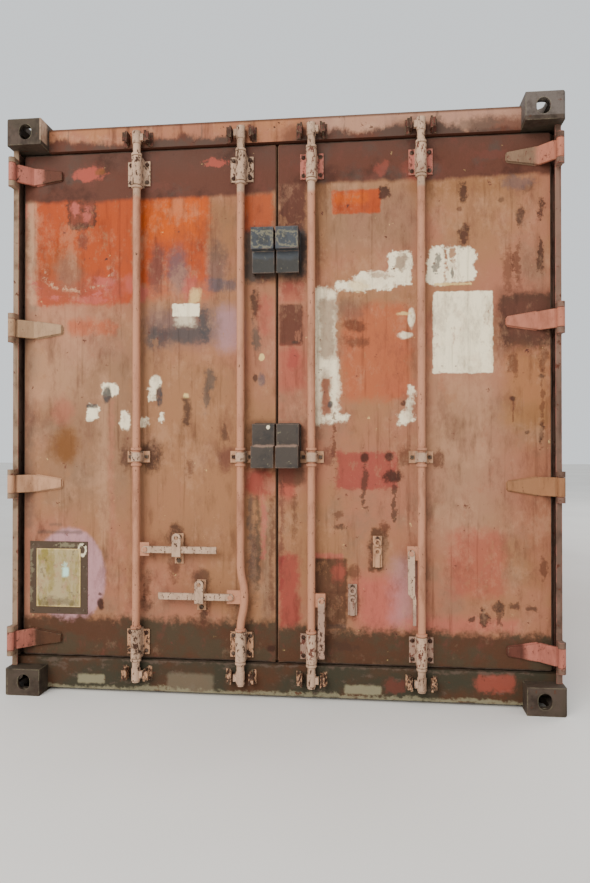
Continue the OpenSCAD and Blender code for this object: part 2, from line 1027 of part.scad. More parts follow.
// A straight rod with a cam at each end and one handle hub
module lock_rod(x, side, handle_z) {
    color(pale)
        translate([x, rear_y + rod_depth, 0])
            union() {
                translate([0, 0, rod_end])
                    cylinder(r = rod_r, h = height - 2 * rod_end);
                translate([0, 0, keeper_low])
                    cam(side);
                translate([0, 0, height - keeper_high])
                    cam(side);
                translate([0, 0, handle_z])
                    hub(side, 0);
            }
}

module left_outer_rod() {
    lock_rod(-outer_rod_x, 1, outer_handle_z);
}

module right_inner_rod() {
    lock_rod(inner_rod_x, 1, right_inner_handle_z);
}

module right_outer_rod() {
    lock_rod(outer_rod_x, -1, outer_handle_z);
}

// A round bar bent in the XZ plane around the origin, from one angle to another
module bent_bar(bend_r, r, from, to) {
    rotate([90, 0, 0])
        rotate(from)
            rotate_extrude(angle = to - from)
                translate([bend_r, 0])
                    circle(r);
}

// The left inner rod, knocked out of line at its handle: two straight stretches, and between
// them three arcs of one radius that meet end to end. Each bar ends inside a slightly thicker one.
module left_inner_rod() {
    z = left_inner_handle_z;
    swell = 0.3;
    grip = 0.2;
    turn = 2 * atan(rod_bend / rod_bend_l);
    bend_r = rod_bend_l / 2 / sin(turn);
    color(pale)
        translate([-inner_rod_x, rear_y + rod_depth, 0])
            union() {
                translate([0, 0, rod_end])
                    cylinder(r = rod_r, h = z - rod_bend_l - rod_end);
                translate([0, 0, z + rod_bend_l])
                    cylinder(r = rod_r, h = height - rod_end - z - rod_bend_l);
                translate([bend_r, 0, z - rod_bend_l])
                    bent_bar(bend_r, rod_r + swell, 180 - turn - grip, 180 + grip);
                translate([bend_r, 0, z + rod_bend_l])
                    bent_bar(bend_r, rod_r + swell, 180 - grip, 180 + turn + grip);
                translate([rod_bend - bend_r, 0, z])
                    bent_bar(bend_r, rod_r + 2 * swell, -turn, turn);
                translate([0, 0, keeper_low])
                    cam(-1);
                translate([0, 0, height - keeper_high])
                    cam(-1);
                translate([0, 0, z])
                    hub(-1, rod_bend);
            }
}

// A flat handle with a round eye: pivot at the origin, bar along +X, thickness along Y
module handle_bar(reach) {
    rotate([90, 0, 0])
        linear_extrude(handle_t, center = true)
            difference() {
                union() {
                    circle(d = handle_w);
                    translate([0, -handle_w / 2])
                        square([reach, handle_w]);
                }
                circle(r = pivot_r + pivot_clear);
            }
}

// The catch that holds a handle down, on the handle's front face, with a seal hole at its top
module handle_catch(x) {
    top = catch_h - handle_w - retainer_w / 2;
    translate([x, -handle_t / 2, 0])
        rotate([90, 0, 0])
            linear_extrude(catch_t)
                difference() {
                    union() {
                        translate([-retainer_w / 2, -handle_w])
                            square([retainer_w, top + handle_w]);
                        translate([0, top])
                            circle(d = retainer_w);
                    }
                    translate([0, top])
                        circle(catch_hole_r);
                }
}

// Puts a handle's pivot on its rod's hub
module at_pivot(rod_x, side, z) {
    translate([rod_x + side * pivot_x, rear_y + hub_depth - handle_gap - handle_t / 2, z])
        children();
}

module left_outer_handle() {
    color(pale)
        at_pivot(-outer_rod_x, 1, outer_handle_z)
            union() {
                handle_bar(left_handle_l);
                handle_catch(outer_rod_x - pivot_x - left_outer_retainer_x);
            }
}

module left_inner_handle() {
    color(pale)
        at_pivot(-inner_rod_x, -1, left_inner_handle_z)
            mirror([1, 0, 0])
                union() {
                    handle_bar(left_handle_l);
                    handle_catch(left_inner_retainer_x - inner_rod_x - pivot_x);
                }
}

module right_inner_handle() {
    color(pale)
        at_pivot(inner_rod_x, 1, right_inner_handle_z)
            rotate([0, 90, 0])
                handle_bar(right_inner_handle_l);
}

// Its lower end is knocked towards the rod and turned edge on
module right_outer_handle() {
    half = handle_w / 2;
    near = handle_bend + handle_end_w / 2;
    far = handle_bend - handle_end_w / 2;
    step = handle_bend_l + 2 * handle_bend;
    color(pale)
        at_pivot(outer_rod_x, -1, outer_handle_z)
            rotate([90, 0, 0])
                linear_extrude(handle_t, center = true)
                    difference() {
                        union() {
                            circle(r = half);
                            polygon([
                                [-half, 0],
                                [-half, -handle_bend_l],
                                [far, -step],
                                [far, -right_outer_handle_l],
                                [near, -right_outer_handle_l],
                                [near, -step],
                                [half, -handle_bend_l],
                                [half, 0],
                            ]);
                        }
                        circle(r = pivot_r + pivot_clear);
                    }
}

// A base plate with a shelf that a closed handle rests on
module shelf_retainer(x, z) {
    low = z - handle_w / 2 - shelf_gap - shelf_t;
    front = hub_depth - handle_gap - handle_t + move_clear;
    union() {
        span([x - retainer_w / 2, rear_y + door_depth - retainer_t, z - retainer_h / 2],
            [x + retainer_w / 2, rear_y + door_depth, z + retainer_h / 2]);
        span([x - retainer_w / 2, rear_y + front, low],
            [x + retainer_w / 2, rear_y + door_depth, low + shelf_t]);
    }
}

module left_retainers() {
    color(pale)
        union() {
            shelf_retainer(-left_outer_retainer_x, outer_handle_z);
            shelf_retainer(-left_inner_retainer_x, left_inner_handle_z);
        }
}

// A base plate with two bored bosses and a foot, its handle hangs free
module bare_retainer(x, z) {
    face = rear_y + door_depth;
    foot_w = retainer_w / 2;
    difference() {
        union() {
            span([x - retainer_w / 2, face - retainer_t, z - retainer_h / 2],
                [x + retainer_w / 2, face, z + retainer_h / 2]);
            span([x - foot_w / 2, face - boss_h, z - retainer_h / 2],
                [x + foot_w / 2, face, z - boss_r + 2 * bite]);
            for (rise = [0, 1])
                translate([x, face, z + rise * (2 * boss_r + move_clear)])
                    rotate([90, 0, 0])
                        cylinder(r = boss_r, h = boss_h);
        }
        for (rise = [0, 1])
            translate([x, face - retainer_t, z + rise * (2 * boss_r + move_clear)])
                rotate([90, 0, 0])
                    cylinder(r = boss_hole_r, h = boss_h);
    }
}

module right_retainers() {
    color(pale)
        union() {
            bare_retainer(right_outer_retainer_x, outer_handle_z);
            bare_retainer(right_inner_retainer_x, right_inner_handle_z);
        }
}

// Half of a welded lock box on the left door: a low tier and a high tier, one above the other.
// It is hollow, and open downwards and towards the other half.
module lock_box(z, high_side) {
    in = box_gap / 2;
    out = in + box_w;
    back = rear_y + door_depth;
    low_front = rear_y + box_low_depth;
    high_front = rear_y + box_high_depth;
    high_from = high_side > 0 ? z : z - box_tier;
    high_to = high_from + box_tier;
    cut_from = high_side > 0 ? z + box_t : z - box_tier - over;
    difference() {
        union() {
            span([-out, low_front, z - box_tier], [-in, back, z + box_tier]);
            span([-out, high_front, high_from], [-in, back, high_to]);
        }
        span([-out + box_t, low_front + box_t, z - box_tier - over],
            [-in + over, back + over, z + box_tier - box_t]);
        span([-out + box_t, high_front + box_t, cut_from],
            [-in + over, low_front + 2 * box_t, high_to - box_t]);
    }
}

module lock_boxes() {
    color(steel_blue)
        union() {
            lock_box(upper_box_z, 1);
            lock_box(lower_box_z, -1);
        }
}

module left_lock_boxes() {
    on_side(-1)
        lock_boxes();
}

module right_lock_boxes() {
    on_side(1)
        lock_boxes();
}

// Bare plate in a frame, low on the left door
module data_plate() {
    back = rear_y + door_depth;
    x = door_out - plate_edge - plate_w / 2;
    inner_w = plate_w / 2 - plate_border;
    inner_h = plate_h / 2 - plate_border;
    color(brass)
        union() {
            span([-x - plate_w / 2, back - plate_t, plate_z - plate_h / 2],
                [-x + plate_w / 2, back, plate_z + plate_h / 2]);
            span([-x - inner_w, back - 2 * plate_t, plate_z - inner_h],
                [-x + inner_w, back, plate_z + inner_h]);
        }
}

rear_top_castings();
rear_bottom_castings();
front_top_castings();
front_bottom_castings();
rear_posts();
front_posts();
rear_header();
rear_sill();
front_header();
front_sill();
top_side_rails();
bottom_side_rails();
left_wall();
right_wall();
front_wall();
roof();
cross_members();
fork_pockets();
floor_boards();
side_vents();
left_hinge_lugs();
right_hinge_lugs();
upper_keepers();
lower_keepers();
left_door_frame();
right_door_frame();
left_door_sheet();
right_door_sheet();
left_seal();
right_seal();
left_hinge_blades();
right_hinge_blades();
left_rod_brackets();
right_rod_brackets();
left_retainers();
right_retainers();
left_lock_boxes();
right_lock_boxes();
data_plate();
left_outer_rod();
left_inner_rod();
right_inner_rod();
right_outer_rod();
left_outer_handle();
left_inner_handle();
right_inner_handle();
right_outer_handle();
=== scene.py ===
"""Looks of an old dry freight container, seen from its door end.

The steelwork comes from the frame. This script paints and weathers it, and adds the small
forged, bolted and welded pieces. Left and right are as seen by someone who stands in front of
the doors. All lengths are in metres, in the frame's axes: the doors face -Y, and +Z is up.
"""

import math

import bmesh
import bpy
import numpy as np
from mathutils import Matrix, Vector


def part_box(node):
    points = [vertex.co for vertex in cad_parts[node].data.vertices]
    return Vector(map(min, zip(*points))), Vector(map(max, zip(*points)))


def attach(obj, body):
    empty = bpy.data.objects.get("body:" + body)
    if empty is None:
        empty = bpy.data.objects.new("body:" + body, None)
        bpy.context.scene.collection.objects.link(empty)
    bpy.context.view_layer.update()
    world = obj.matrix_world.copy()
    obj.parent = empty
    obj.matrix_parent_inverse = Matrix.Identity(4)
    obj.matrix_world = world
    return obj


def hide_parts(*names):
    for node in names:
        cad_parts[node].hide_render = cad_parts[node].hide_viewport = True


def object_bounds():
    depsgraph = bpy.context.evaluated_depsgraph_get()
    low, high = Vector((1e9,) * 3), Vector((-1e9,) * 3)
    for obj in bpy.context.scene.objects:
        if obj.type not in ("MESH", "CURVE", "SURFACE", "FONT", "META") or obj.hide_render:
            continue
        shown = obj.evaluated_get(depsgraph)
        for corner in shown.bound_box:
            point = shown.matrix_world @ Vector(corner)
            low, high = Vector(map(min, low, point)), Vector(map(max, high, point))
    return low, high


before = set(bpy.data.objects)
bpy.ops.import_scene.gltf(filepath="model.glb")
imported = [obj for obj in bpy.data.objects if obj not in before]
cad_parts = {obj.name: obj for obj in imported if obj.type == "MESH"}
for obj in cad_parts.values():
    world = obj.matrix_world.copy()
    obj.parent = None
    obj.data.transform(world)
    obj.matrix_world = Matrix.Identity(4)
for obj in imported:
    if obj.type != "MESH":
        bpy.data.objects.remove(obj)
CAD_BOX = [[float(value) for value in corner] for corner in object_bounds()]

# The frame's own places that the paint and the small pieces are set out from
REAR_Y = CAD_BOX[0][1]
HALF_WIDTH = CAD_BOX[1][0]
HEIGHT = CAD_BOX[1][2]
DOOR_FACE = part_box("left_door_frame")[0][1]
DOOR_MIDDLE = (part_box("left_door_sheet")[0][1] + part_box("left_door_sheet")[1][1]) / 2
HEADER_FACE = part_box("rear_header")[0][1]
HEADER_LIP = 0.024
HEADER_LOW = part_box("rear_header")[0][2] + HEADER_LIP
HEADER_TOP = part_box("rear_header")[1][2]
ROOF_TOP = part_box("roof")[1][2]
POST_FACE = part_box("rear_posts")[0][1]

# Lock rods: middles from the centre line, axis, cam heights, bearings, bolts, collars and sleeves
ROD_X = {"left_outer_rod": -0.632, "left_inner_rod": -0.157, "right_inner_rod": 0.157,
         "right_outer_rod": 0.632}
ROD_Y = REAR_Y + 0.059
CAM_LEVELS = (0.095, HEIGHT - 0.086)
HOUSING_R = 0.023
PLATE_HALF = 0.056
MID_BRACKET_HALF = 0.026
BRACKET_FACE = DOOR_FACE - 0.008
BOLT_ASIDE = 0.038
BOLT_RISE = 0.040
ROD_R = 0.0165
COLLAR_GAP = 0.003
COLLAR_H = 0.012
COLLAR_R = 0.0235
SLEEVE_HALF = 0.028
SLEEVE_R = 0.0200

# Retainer bolts from the ends of their base plates, on each door
RETAINER_BOLTS = {"left": (0.014, 0.014), "right": (0.012,)}

# Keeper ears, their feet and lips
KEEPER_T = 0.009
FOOT_W = 0.020
FOOT_T = 0.005
FOOT_HALF = 0.032
LIP_W = 0.012
LIP_T = 0.008
LIP_HALF = 0.020

# Corner castings: width, inner side face of the left ones, and where the upper ones get paler, with a
# painted highlight on the upper left one's inner face
CASTING_WIDTH = 0.162
CASTING_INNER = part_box("rear_top_castings")[0][0] + CASTING_WIDTH
PALER_FROM = HEIGHT - 0.101

# Rounded edges of the cast, forged and pressed pieces
CASTING_ROUND = 0.006
BLADE_ROUND = 0.004
BOX_ROUND = 0.004

# Hinge blades from their tips, the lugs, and their welds from the container's side
BLADE_FLAT = 0.128
BLADE_ROOT_HALF = 0.0385
BLADE_TIP_HALF = 0.0182
LUG_H = 0.024
LUG_WELD_INNER = 0.031
LUG_WELD_OUTER = 0.006

# Weld beads: radii of the thick, middle, lug and thin ones, and the length of one ripple
THICK_WELD = 0.006
MIDDLE_WELD = 0.005
LUG_WELD = 0.0045
THIN_WELD = 0.004
RIPPLE = 0.009

# Gasket lips: how far they stand out at the doors' outer edges and in the middle, how deep
# behind the door's face they lie, and their thickness
EDGE_LIP = 0.007
MIDDLE_LIP = 0.004
LIP_DEPTH = 0.004
LIP_THICK = 0.018

# Lock boxes' step, and the data plate
BOX_STEP = REAR_Y + 0.045
BOX_LEDGE = 1.972
PLATE_BORDER = 0.033
PLATE_T = 0.003
PLATE_MIDDLE = (-1.012, 0.512)
PLATE_INNER = (0.210, 0.266)

# Edges of the dark bands at the top and the bottom of the doors
LEFT_TOP_BAND = 2.240
LEFT_LOW_BAND = 0.330
RIGHT_TOP_BAND = 2.277
RIGHT_LOW_BAND = 0.306

# Floor screws: rows along the container, columns across it, and how far in from the walls
SCREW_ROW = 0.3
SCREW_COLUMNS = 9
SCREW_INSET = 0.06

# Louvres on the vent covers: how many, and how far in from the cover's ends
LOUVRES = 6
LOUVRE_INSET = 0.03

# Floor, sky, and the lights: name, place, target, power and colour
FLOOR_HALF = 40.0
SKY_COLOUR = (0.93, 0.97, 1.0, 1.0)
SKY_STRENGTH = 1.0
LIGHT_SIZE = 6.0
LIGHTS = (
    ("door_light", (-3.5, REAR_Y - 8.0, 5.5), (0, REAR_Y, 1.2), 1000.0, (1.0, 0.97, 0.92)),
    ("side_light", (9.0, 3.0, 6.0), (0, 0, 1.2), 500.0, (1.0, 0.98, 0.95)))

# Camera: place, turn to the left, tilt upwards, and focal length for a frame 36 mm tall
CAMERA_PLACE = (0.408, REAR_Y - 2.947, 1.113)
CAMERA_TURN = 6.13
CAMERA_TILT = 0.44
CAMERA_LENS = 28.13


def srgb(red, green, blue):
    """A linear colour from the three 0 to 255 values of a paint chart."""
    chip = np.array([red, green, blue]) / 255
    linear = np.where(chip <= 0.04045, chip / 12.92, ((chip + 0.055) / 1.055) ** 2.4)
    return tuple(float(value) for value in linear) + (1.0,)


# Paints and stains
TAN = srgb(147, 102, 70)
PINK_TAN = srgb(154, 99, 75)
GREY_TAN = srgb(125, 98, 77)
HEADER_TAN = srgb(159, 104, 71)
TOP_BROWN = srgb(86, 49, 36)
TOP_GREY = srgb(76, 56, 47)
LOW_BROWN = srgb(76, 48, 31)
LOW_OLIVE = srgb(68, 54, 38)
ORANGE = srgb(158, 60, 16)
BRIGHT_ORANGE = srgb(180, 76, 4)
FADED_ORANGE = srgb(168, 76, 43)
RED = srgb(139, 48, 45)
SALMON = srgb(157, 72, 58)
PINK = srgb(172, 86, 75)
HEADER_PALE = srgb(170, 136, 118)
MAUVE = srgb(174, 130, 134)
BLUE_GREY = srgb(81, 73, 78)
SLATE = srgb(56, 57, 58)
WHITE = srgb(240, 225, 191)
CREAM = srgb(215, 184, 120)
OCHRE = srgb(110, 66, 28)
FADED_OCHRE = srgb(146, 98, 54)
BROWN = srgb(62, 40, 29)
DARK_RUST = srgb(52, 28, 19)
RUST = srgb(82, 45, 29)
RED_BROWN = srgb(94, 52, 41)
GREY_BROWN = srgb(88, 72, 61)
POST_BROWN = srgb(118, 90, 76)
POST_DARK = srgb(96, 74, 62)
POST_TAN = srgb(142, 118, 95)
CASTING_GREY = srgb(74, 61, 52)
CASTING_OLIVE = srgb(66, 56, 45)
CASTING_PALE = srgb(112, 103, 98)
SILL_OLIVE = srgb(56, 51, 38)
WORN_STEEL = srgb(134, 126, 99)
HARDWARE_PALE = srgb(183, 138, 106)
# Pale chipped paint, which also paints the highlight on a corner casting's inner face
PALE_CHIPS_AND_HIGHLIGHT = srgb(184, 152, 127)
BLADE_BEIGE = srgb(166, 133, 103)
BLADE_PINK = srgb(172, 108, 86)
BLADE_ROSE = srgb(172, 104, 88)
HARDWARE_PINK = srgb(167, 100, 86)
ROD_PINK = srgb(180, 126, 98)
ROD_GREY = srgb(156, 125, 107)
BOX_BLUE = srgb(62, 65, 69)
BOX_GREY = srgb(55, 53, 50)
BOX_BROWN = srgb(66, 58, 52)
BOX_DARK = srgb(42, 41, 40)
PLATE_FRAME = srgb(76, 60, 47)
PLATE_PALE = srgb(164, 146, 108)
PLATE_OLIVE = srgb(134, 118, 58)
PLATE_PINK = srgb(160, 126, 94)
STICKER = srgb(186, 226, 208)
RUBBER = srgb(62, 46, 37)
VENT_BLACK = srgb(40, 39, 38)
WALL_TAN = srgb(136, 89, 64)
WALL_RED = srgb(101, 61, 47)
BASE_DARK = srgb(45, 40, 35)
PLY_PALE = srgb(165, 124, 82)
PLY_DARK = srgb(113, 85, 58)
DUST = srgb(112, 101, 82)
GRIME = srgb(120, 96, 80)
FLOOR_PALE = srgb(230, 227, 222)


class Coat:
    """One finish: a material, and short calls for the nodes that it is built from."""

    def __init__(self, name):
        self.material = bpy.data.materials.new(name)
        self.material.use_nodes = True
        self.tree = self.material.node_tree
        self.shader = self.tree.nodes["Principled BSDF"]
        self.place = self.add("ShaderNodeTexCoord").outputs["Object"]
        self.x, self.y, self.z = self.parts(self.place)
        self.fray = self.minus(self.noise(38, 7, 0.72, start=21), 0.5)
        self.mark_edges = {}

    def add(self, kind, settings=None, **values):
        """A new node, with its settings and its inputs by name."""
        node = self.tree.nodes.new(kind)
        for key, value in (settings or {}).items():
            setattr(node, key, value)
        for key, value in values.items():
            self.put(node.inputs[key], value)
        return node

    def put(self, socket, value):
        """Links an output to a socket, or sets a plain value on it."""
        if isinstance(value, bpy.types.NodeSocket):
            self.tree.links.new(value, socket)
        else:
            socket.default_value = value

    def parts(self, vector):
        """The three parts of a vector."""
        return self.add("ShaderNodeSeparateXYZ", Vector=vector).outputs

    def math(self, operation, *values):
        """One sum on one to three numbers."""
        node = self.add("ShaderNodeMath", {"operation": operation})
        for socket, value in zip(node.inputs, values):
            self.put(socket, value)
        return node.outputs[0]

    def times(self, first, second):
        """The product of two numbers."""
        return self.math("MULTIPLY", first, second)

    def plus(self, first, second):
        """The sum of two numbers."""
        return self.math("ADD", first, second)

    def minus(self, first, second):
        """The first number less the second."""
        return self.math("SUBTRACT", first, second)

    def vector(self, operation, *values, output="Vector"):
        """One sum on one to three vectors."""
        node = self.add("ShaderNodeVectorMath", {"operation": operation})
        for socket, value in zip(node.inputs, values):
            self.put(socket, value)
        return node.outputs[output]

    def noise(self, scale, detail=3.0, rough=0.55, stretch=(1, 1, 1), start=0.0, output="Fac"):
        """Cloudy noise between 0 and 1, around 0.5: scale is in swings a metre, stretch by axis."""
        sizes = [scale * value for value in stretch]
        moved = self.add("ShaderNodeMapping", Vector=self.place, Scale=sizes,
                         Location=(start, start, start))
        return self.add("ShaderNodeTexNoise", Vector=moved.outputs[0], Scale=1.0, Detail=detail,
                        Roughness=rough).outputs[output]

    def step(self, value, low, high, most=1.0):
        """A smooth step: 0 at low and most at high. It falls where low is above high."""
        node = self.add("ShaderNodeMapRange", {"interpolation_type": "SMOOTHSTEP"}, Value=value)
        self.put(node.inputs["From Min"], low)
        self.put(node.inputs["From Max"], high)
        self.put(node.inputs["To Max"], most)
        return node.outputs[0]

    def cloud(self, span, *shape, **more):
        """Noise of a shape, stepped from 0 at span's first value to 1, or its third, at its second."""
        return self.step(self.noise(*shape, **more), *span)

    def blend(self, amount, under, over):
        """One colour over another, by an amount between 0 and 1."""
        node = self.add("ShaderNodeMix", {"data_type": "RGBA"})
        self.put(node.inputs[0], amount)
        self.put(node.inputs[6], under)
        self.put(node.inputs[7], over)
        return node.outputs[2]

    def shade(self, colour, amount):
        """A colour darkened by grime, by an amount."""
        node = self.add("ShaderNodeMix", {"data_type": "RGBA", "blend_type": "MULTIPLY"})
        self.put(node.inputs[0], amount)
        self.put(node.inputs[6], colour)
        self.put(node.inputs[7], GRIME)
        return node.outputs[2]

    def torn(self, scale, reach, detail, start):
        """The place, pushed about by noise up to a reach, so that the edges of marks are ragged."""
        cloud = self.noise(scale, detail, 0.6, start=start, output="Color")
        push = self.vector("SUBTRACT", cloud, (0.5, 0.5, 0.5))
        push = self.vector("MULTIPLY", push, (2 * reach, 0, 2 * reach))
        return self.vector("ADD", self.place, push)

    def oblong(self, where, middle, size, corner, ragged):
        """Distance out of an upright rectangle in X and Z, from inside its edge by a corner's radius.

        It is the distance to the nearest place of that inner rectangle. Ragged frays the edge."""
        half = np.array((size[0] / 2 - corner, 99, size[1] / 2 - corner))
        centre = np.array((middle[0], 0, middle[1]))
        nearest = self.vector("MINIMUM", where, tuple(centre + half))
        nearest = self.vector("MAXIMUM", nearest, tuple(centre - half))
        return self.plus(self.vector("DISTANCE", where, nearest, output="Value"), ragged)

    def block(self, where, middle, size, soft, most=1.0, ragged=0.0, reach=0.0):
        """Most inside an upright rectangle and 0 outside it. Reach is how far ragged frays its edge.

        The other four kinds of marks take the same values, and have no use for reach."""
        corner = min(soft / 2 + reach, min(size) / 2)
        far = self.oblong(where, middle, size, corner, ragged)
        return self.step(far, corner + soft / 2, corner - soft / 2, most)

    def rim(self, where, middle, size, soft, most, ragged, reach):
        """Most along the outline of an upright rectangle; soft is half its width."""
        corner = min(soft + 0.002, min(size) / 2)
        far = self.minus(self.oblong(where, middle, size, corner, ragged), corner)
        return self.step(self.math("ABSOLUTE", far), soft, soft / 4, most)

    def oval(self, where, middle, size, ragged):
        """Distance from the middle of an upright oval in X and Z: 1 at its edge, which ragged frays."""
        away = self.vector("MULTIPLY_ADD", where, (2 / size[0], 0, 2 / size[1]),
                           (-2 * middle[0] / size[0], 0, -2 * middle[1] / size[1]))
        return self.math("MULTIPLY_ADD", ragged, 2 / min(size), self.vector("LENGTH", away, output="Value"))

    def spot(self, where, middle, size, soft, most, ragged, reach):
        """Most inside an upright oval and 0 outside it; soft is a share of its size."""
        far = self.oval(where, middle, size, ragged)
        return self.step(far, 1 + soft / 2, 1 - soft / 2, most)

    def ring(self, where, middle, size, soft, most, ragged, reach):
        """Most along an oval's outline; soft is half its width as a share of its size."""
        far = self.minus(self.oval(where, middle, size, ragged), 1.0)
        return self.step(self.math("ABSOLUTE", far), soft, soft / 4, most)

    def bowl(self, where, middle, size, soft, most, ragged, reach):
        """Most along the lower half of an oval's outline, in broken strokes."""
        line = self.ring(where, middle, size, soft, most, ragged, reach)
        line = self.times(line, self.step(self.fray, -0.02, 0.08))
        return self.times(line, self.step(self.z, middle[1] + 0.03, middle[1] - 0.03))

    def edges(self, radius=0.005):
        """0 on flat faces, up to 1 along the piece's edges."""
        round_normal = self.add("ShaderNodeBevel", {"samples": 4}, Radius=radius).outputs[0]
        flat_normal = self.add("ShaderNodeNewGeometry").outputs["Normal"]
        same = self.vector("DOT_PRODUCT", round_normal, flat_normal, output="Value")
        return self.step(same, 0.995, 0.86)

    def finish(self, colour, roughness, height=None, depth=0.001, round_edges=0.0):
        """Sets the colour, the roughness and the relief, and gives the material back."""
        self.put(self.shader.inputs["Base Color"], colour)
        self.put(self.shader.inputs["Roughness"], roughness)
        self.shader.inputs["Specular IOR Level"].default_value = 0.2
        normal = None
        if round_edges:
            normal = self.add("ShaderNodeBevel", {"samples": 4}, Radius=round_edges).outputs[0]
        if height is not None:
            bump = self.add("ShaderNodeBump", Height=height, Distance=depth, Strength=1.0)
            if normal is not None:
                self.put(bump.inputs["Normal"], normal)
            normal = bump.outputs[0]
        if normal is not None:
            self.put(self.shader.inputs["Normal"], normal)
        return self.material


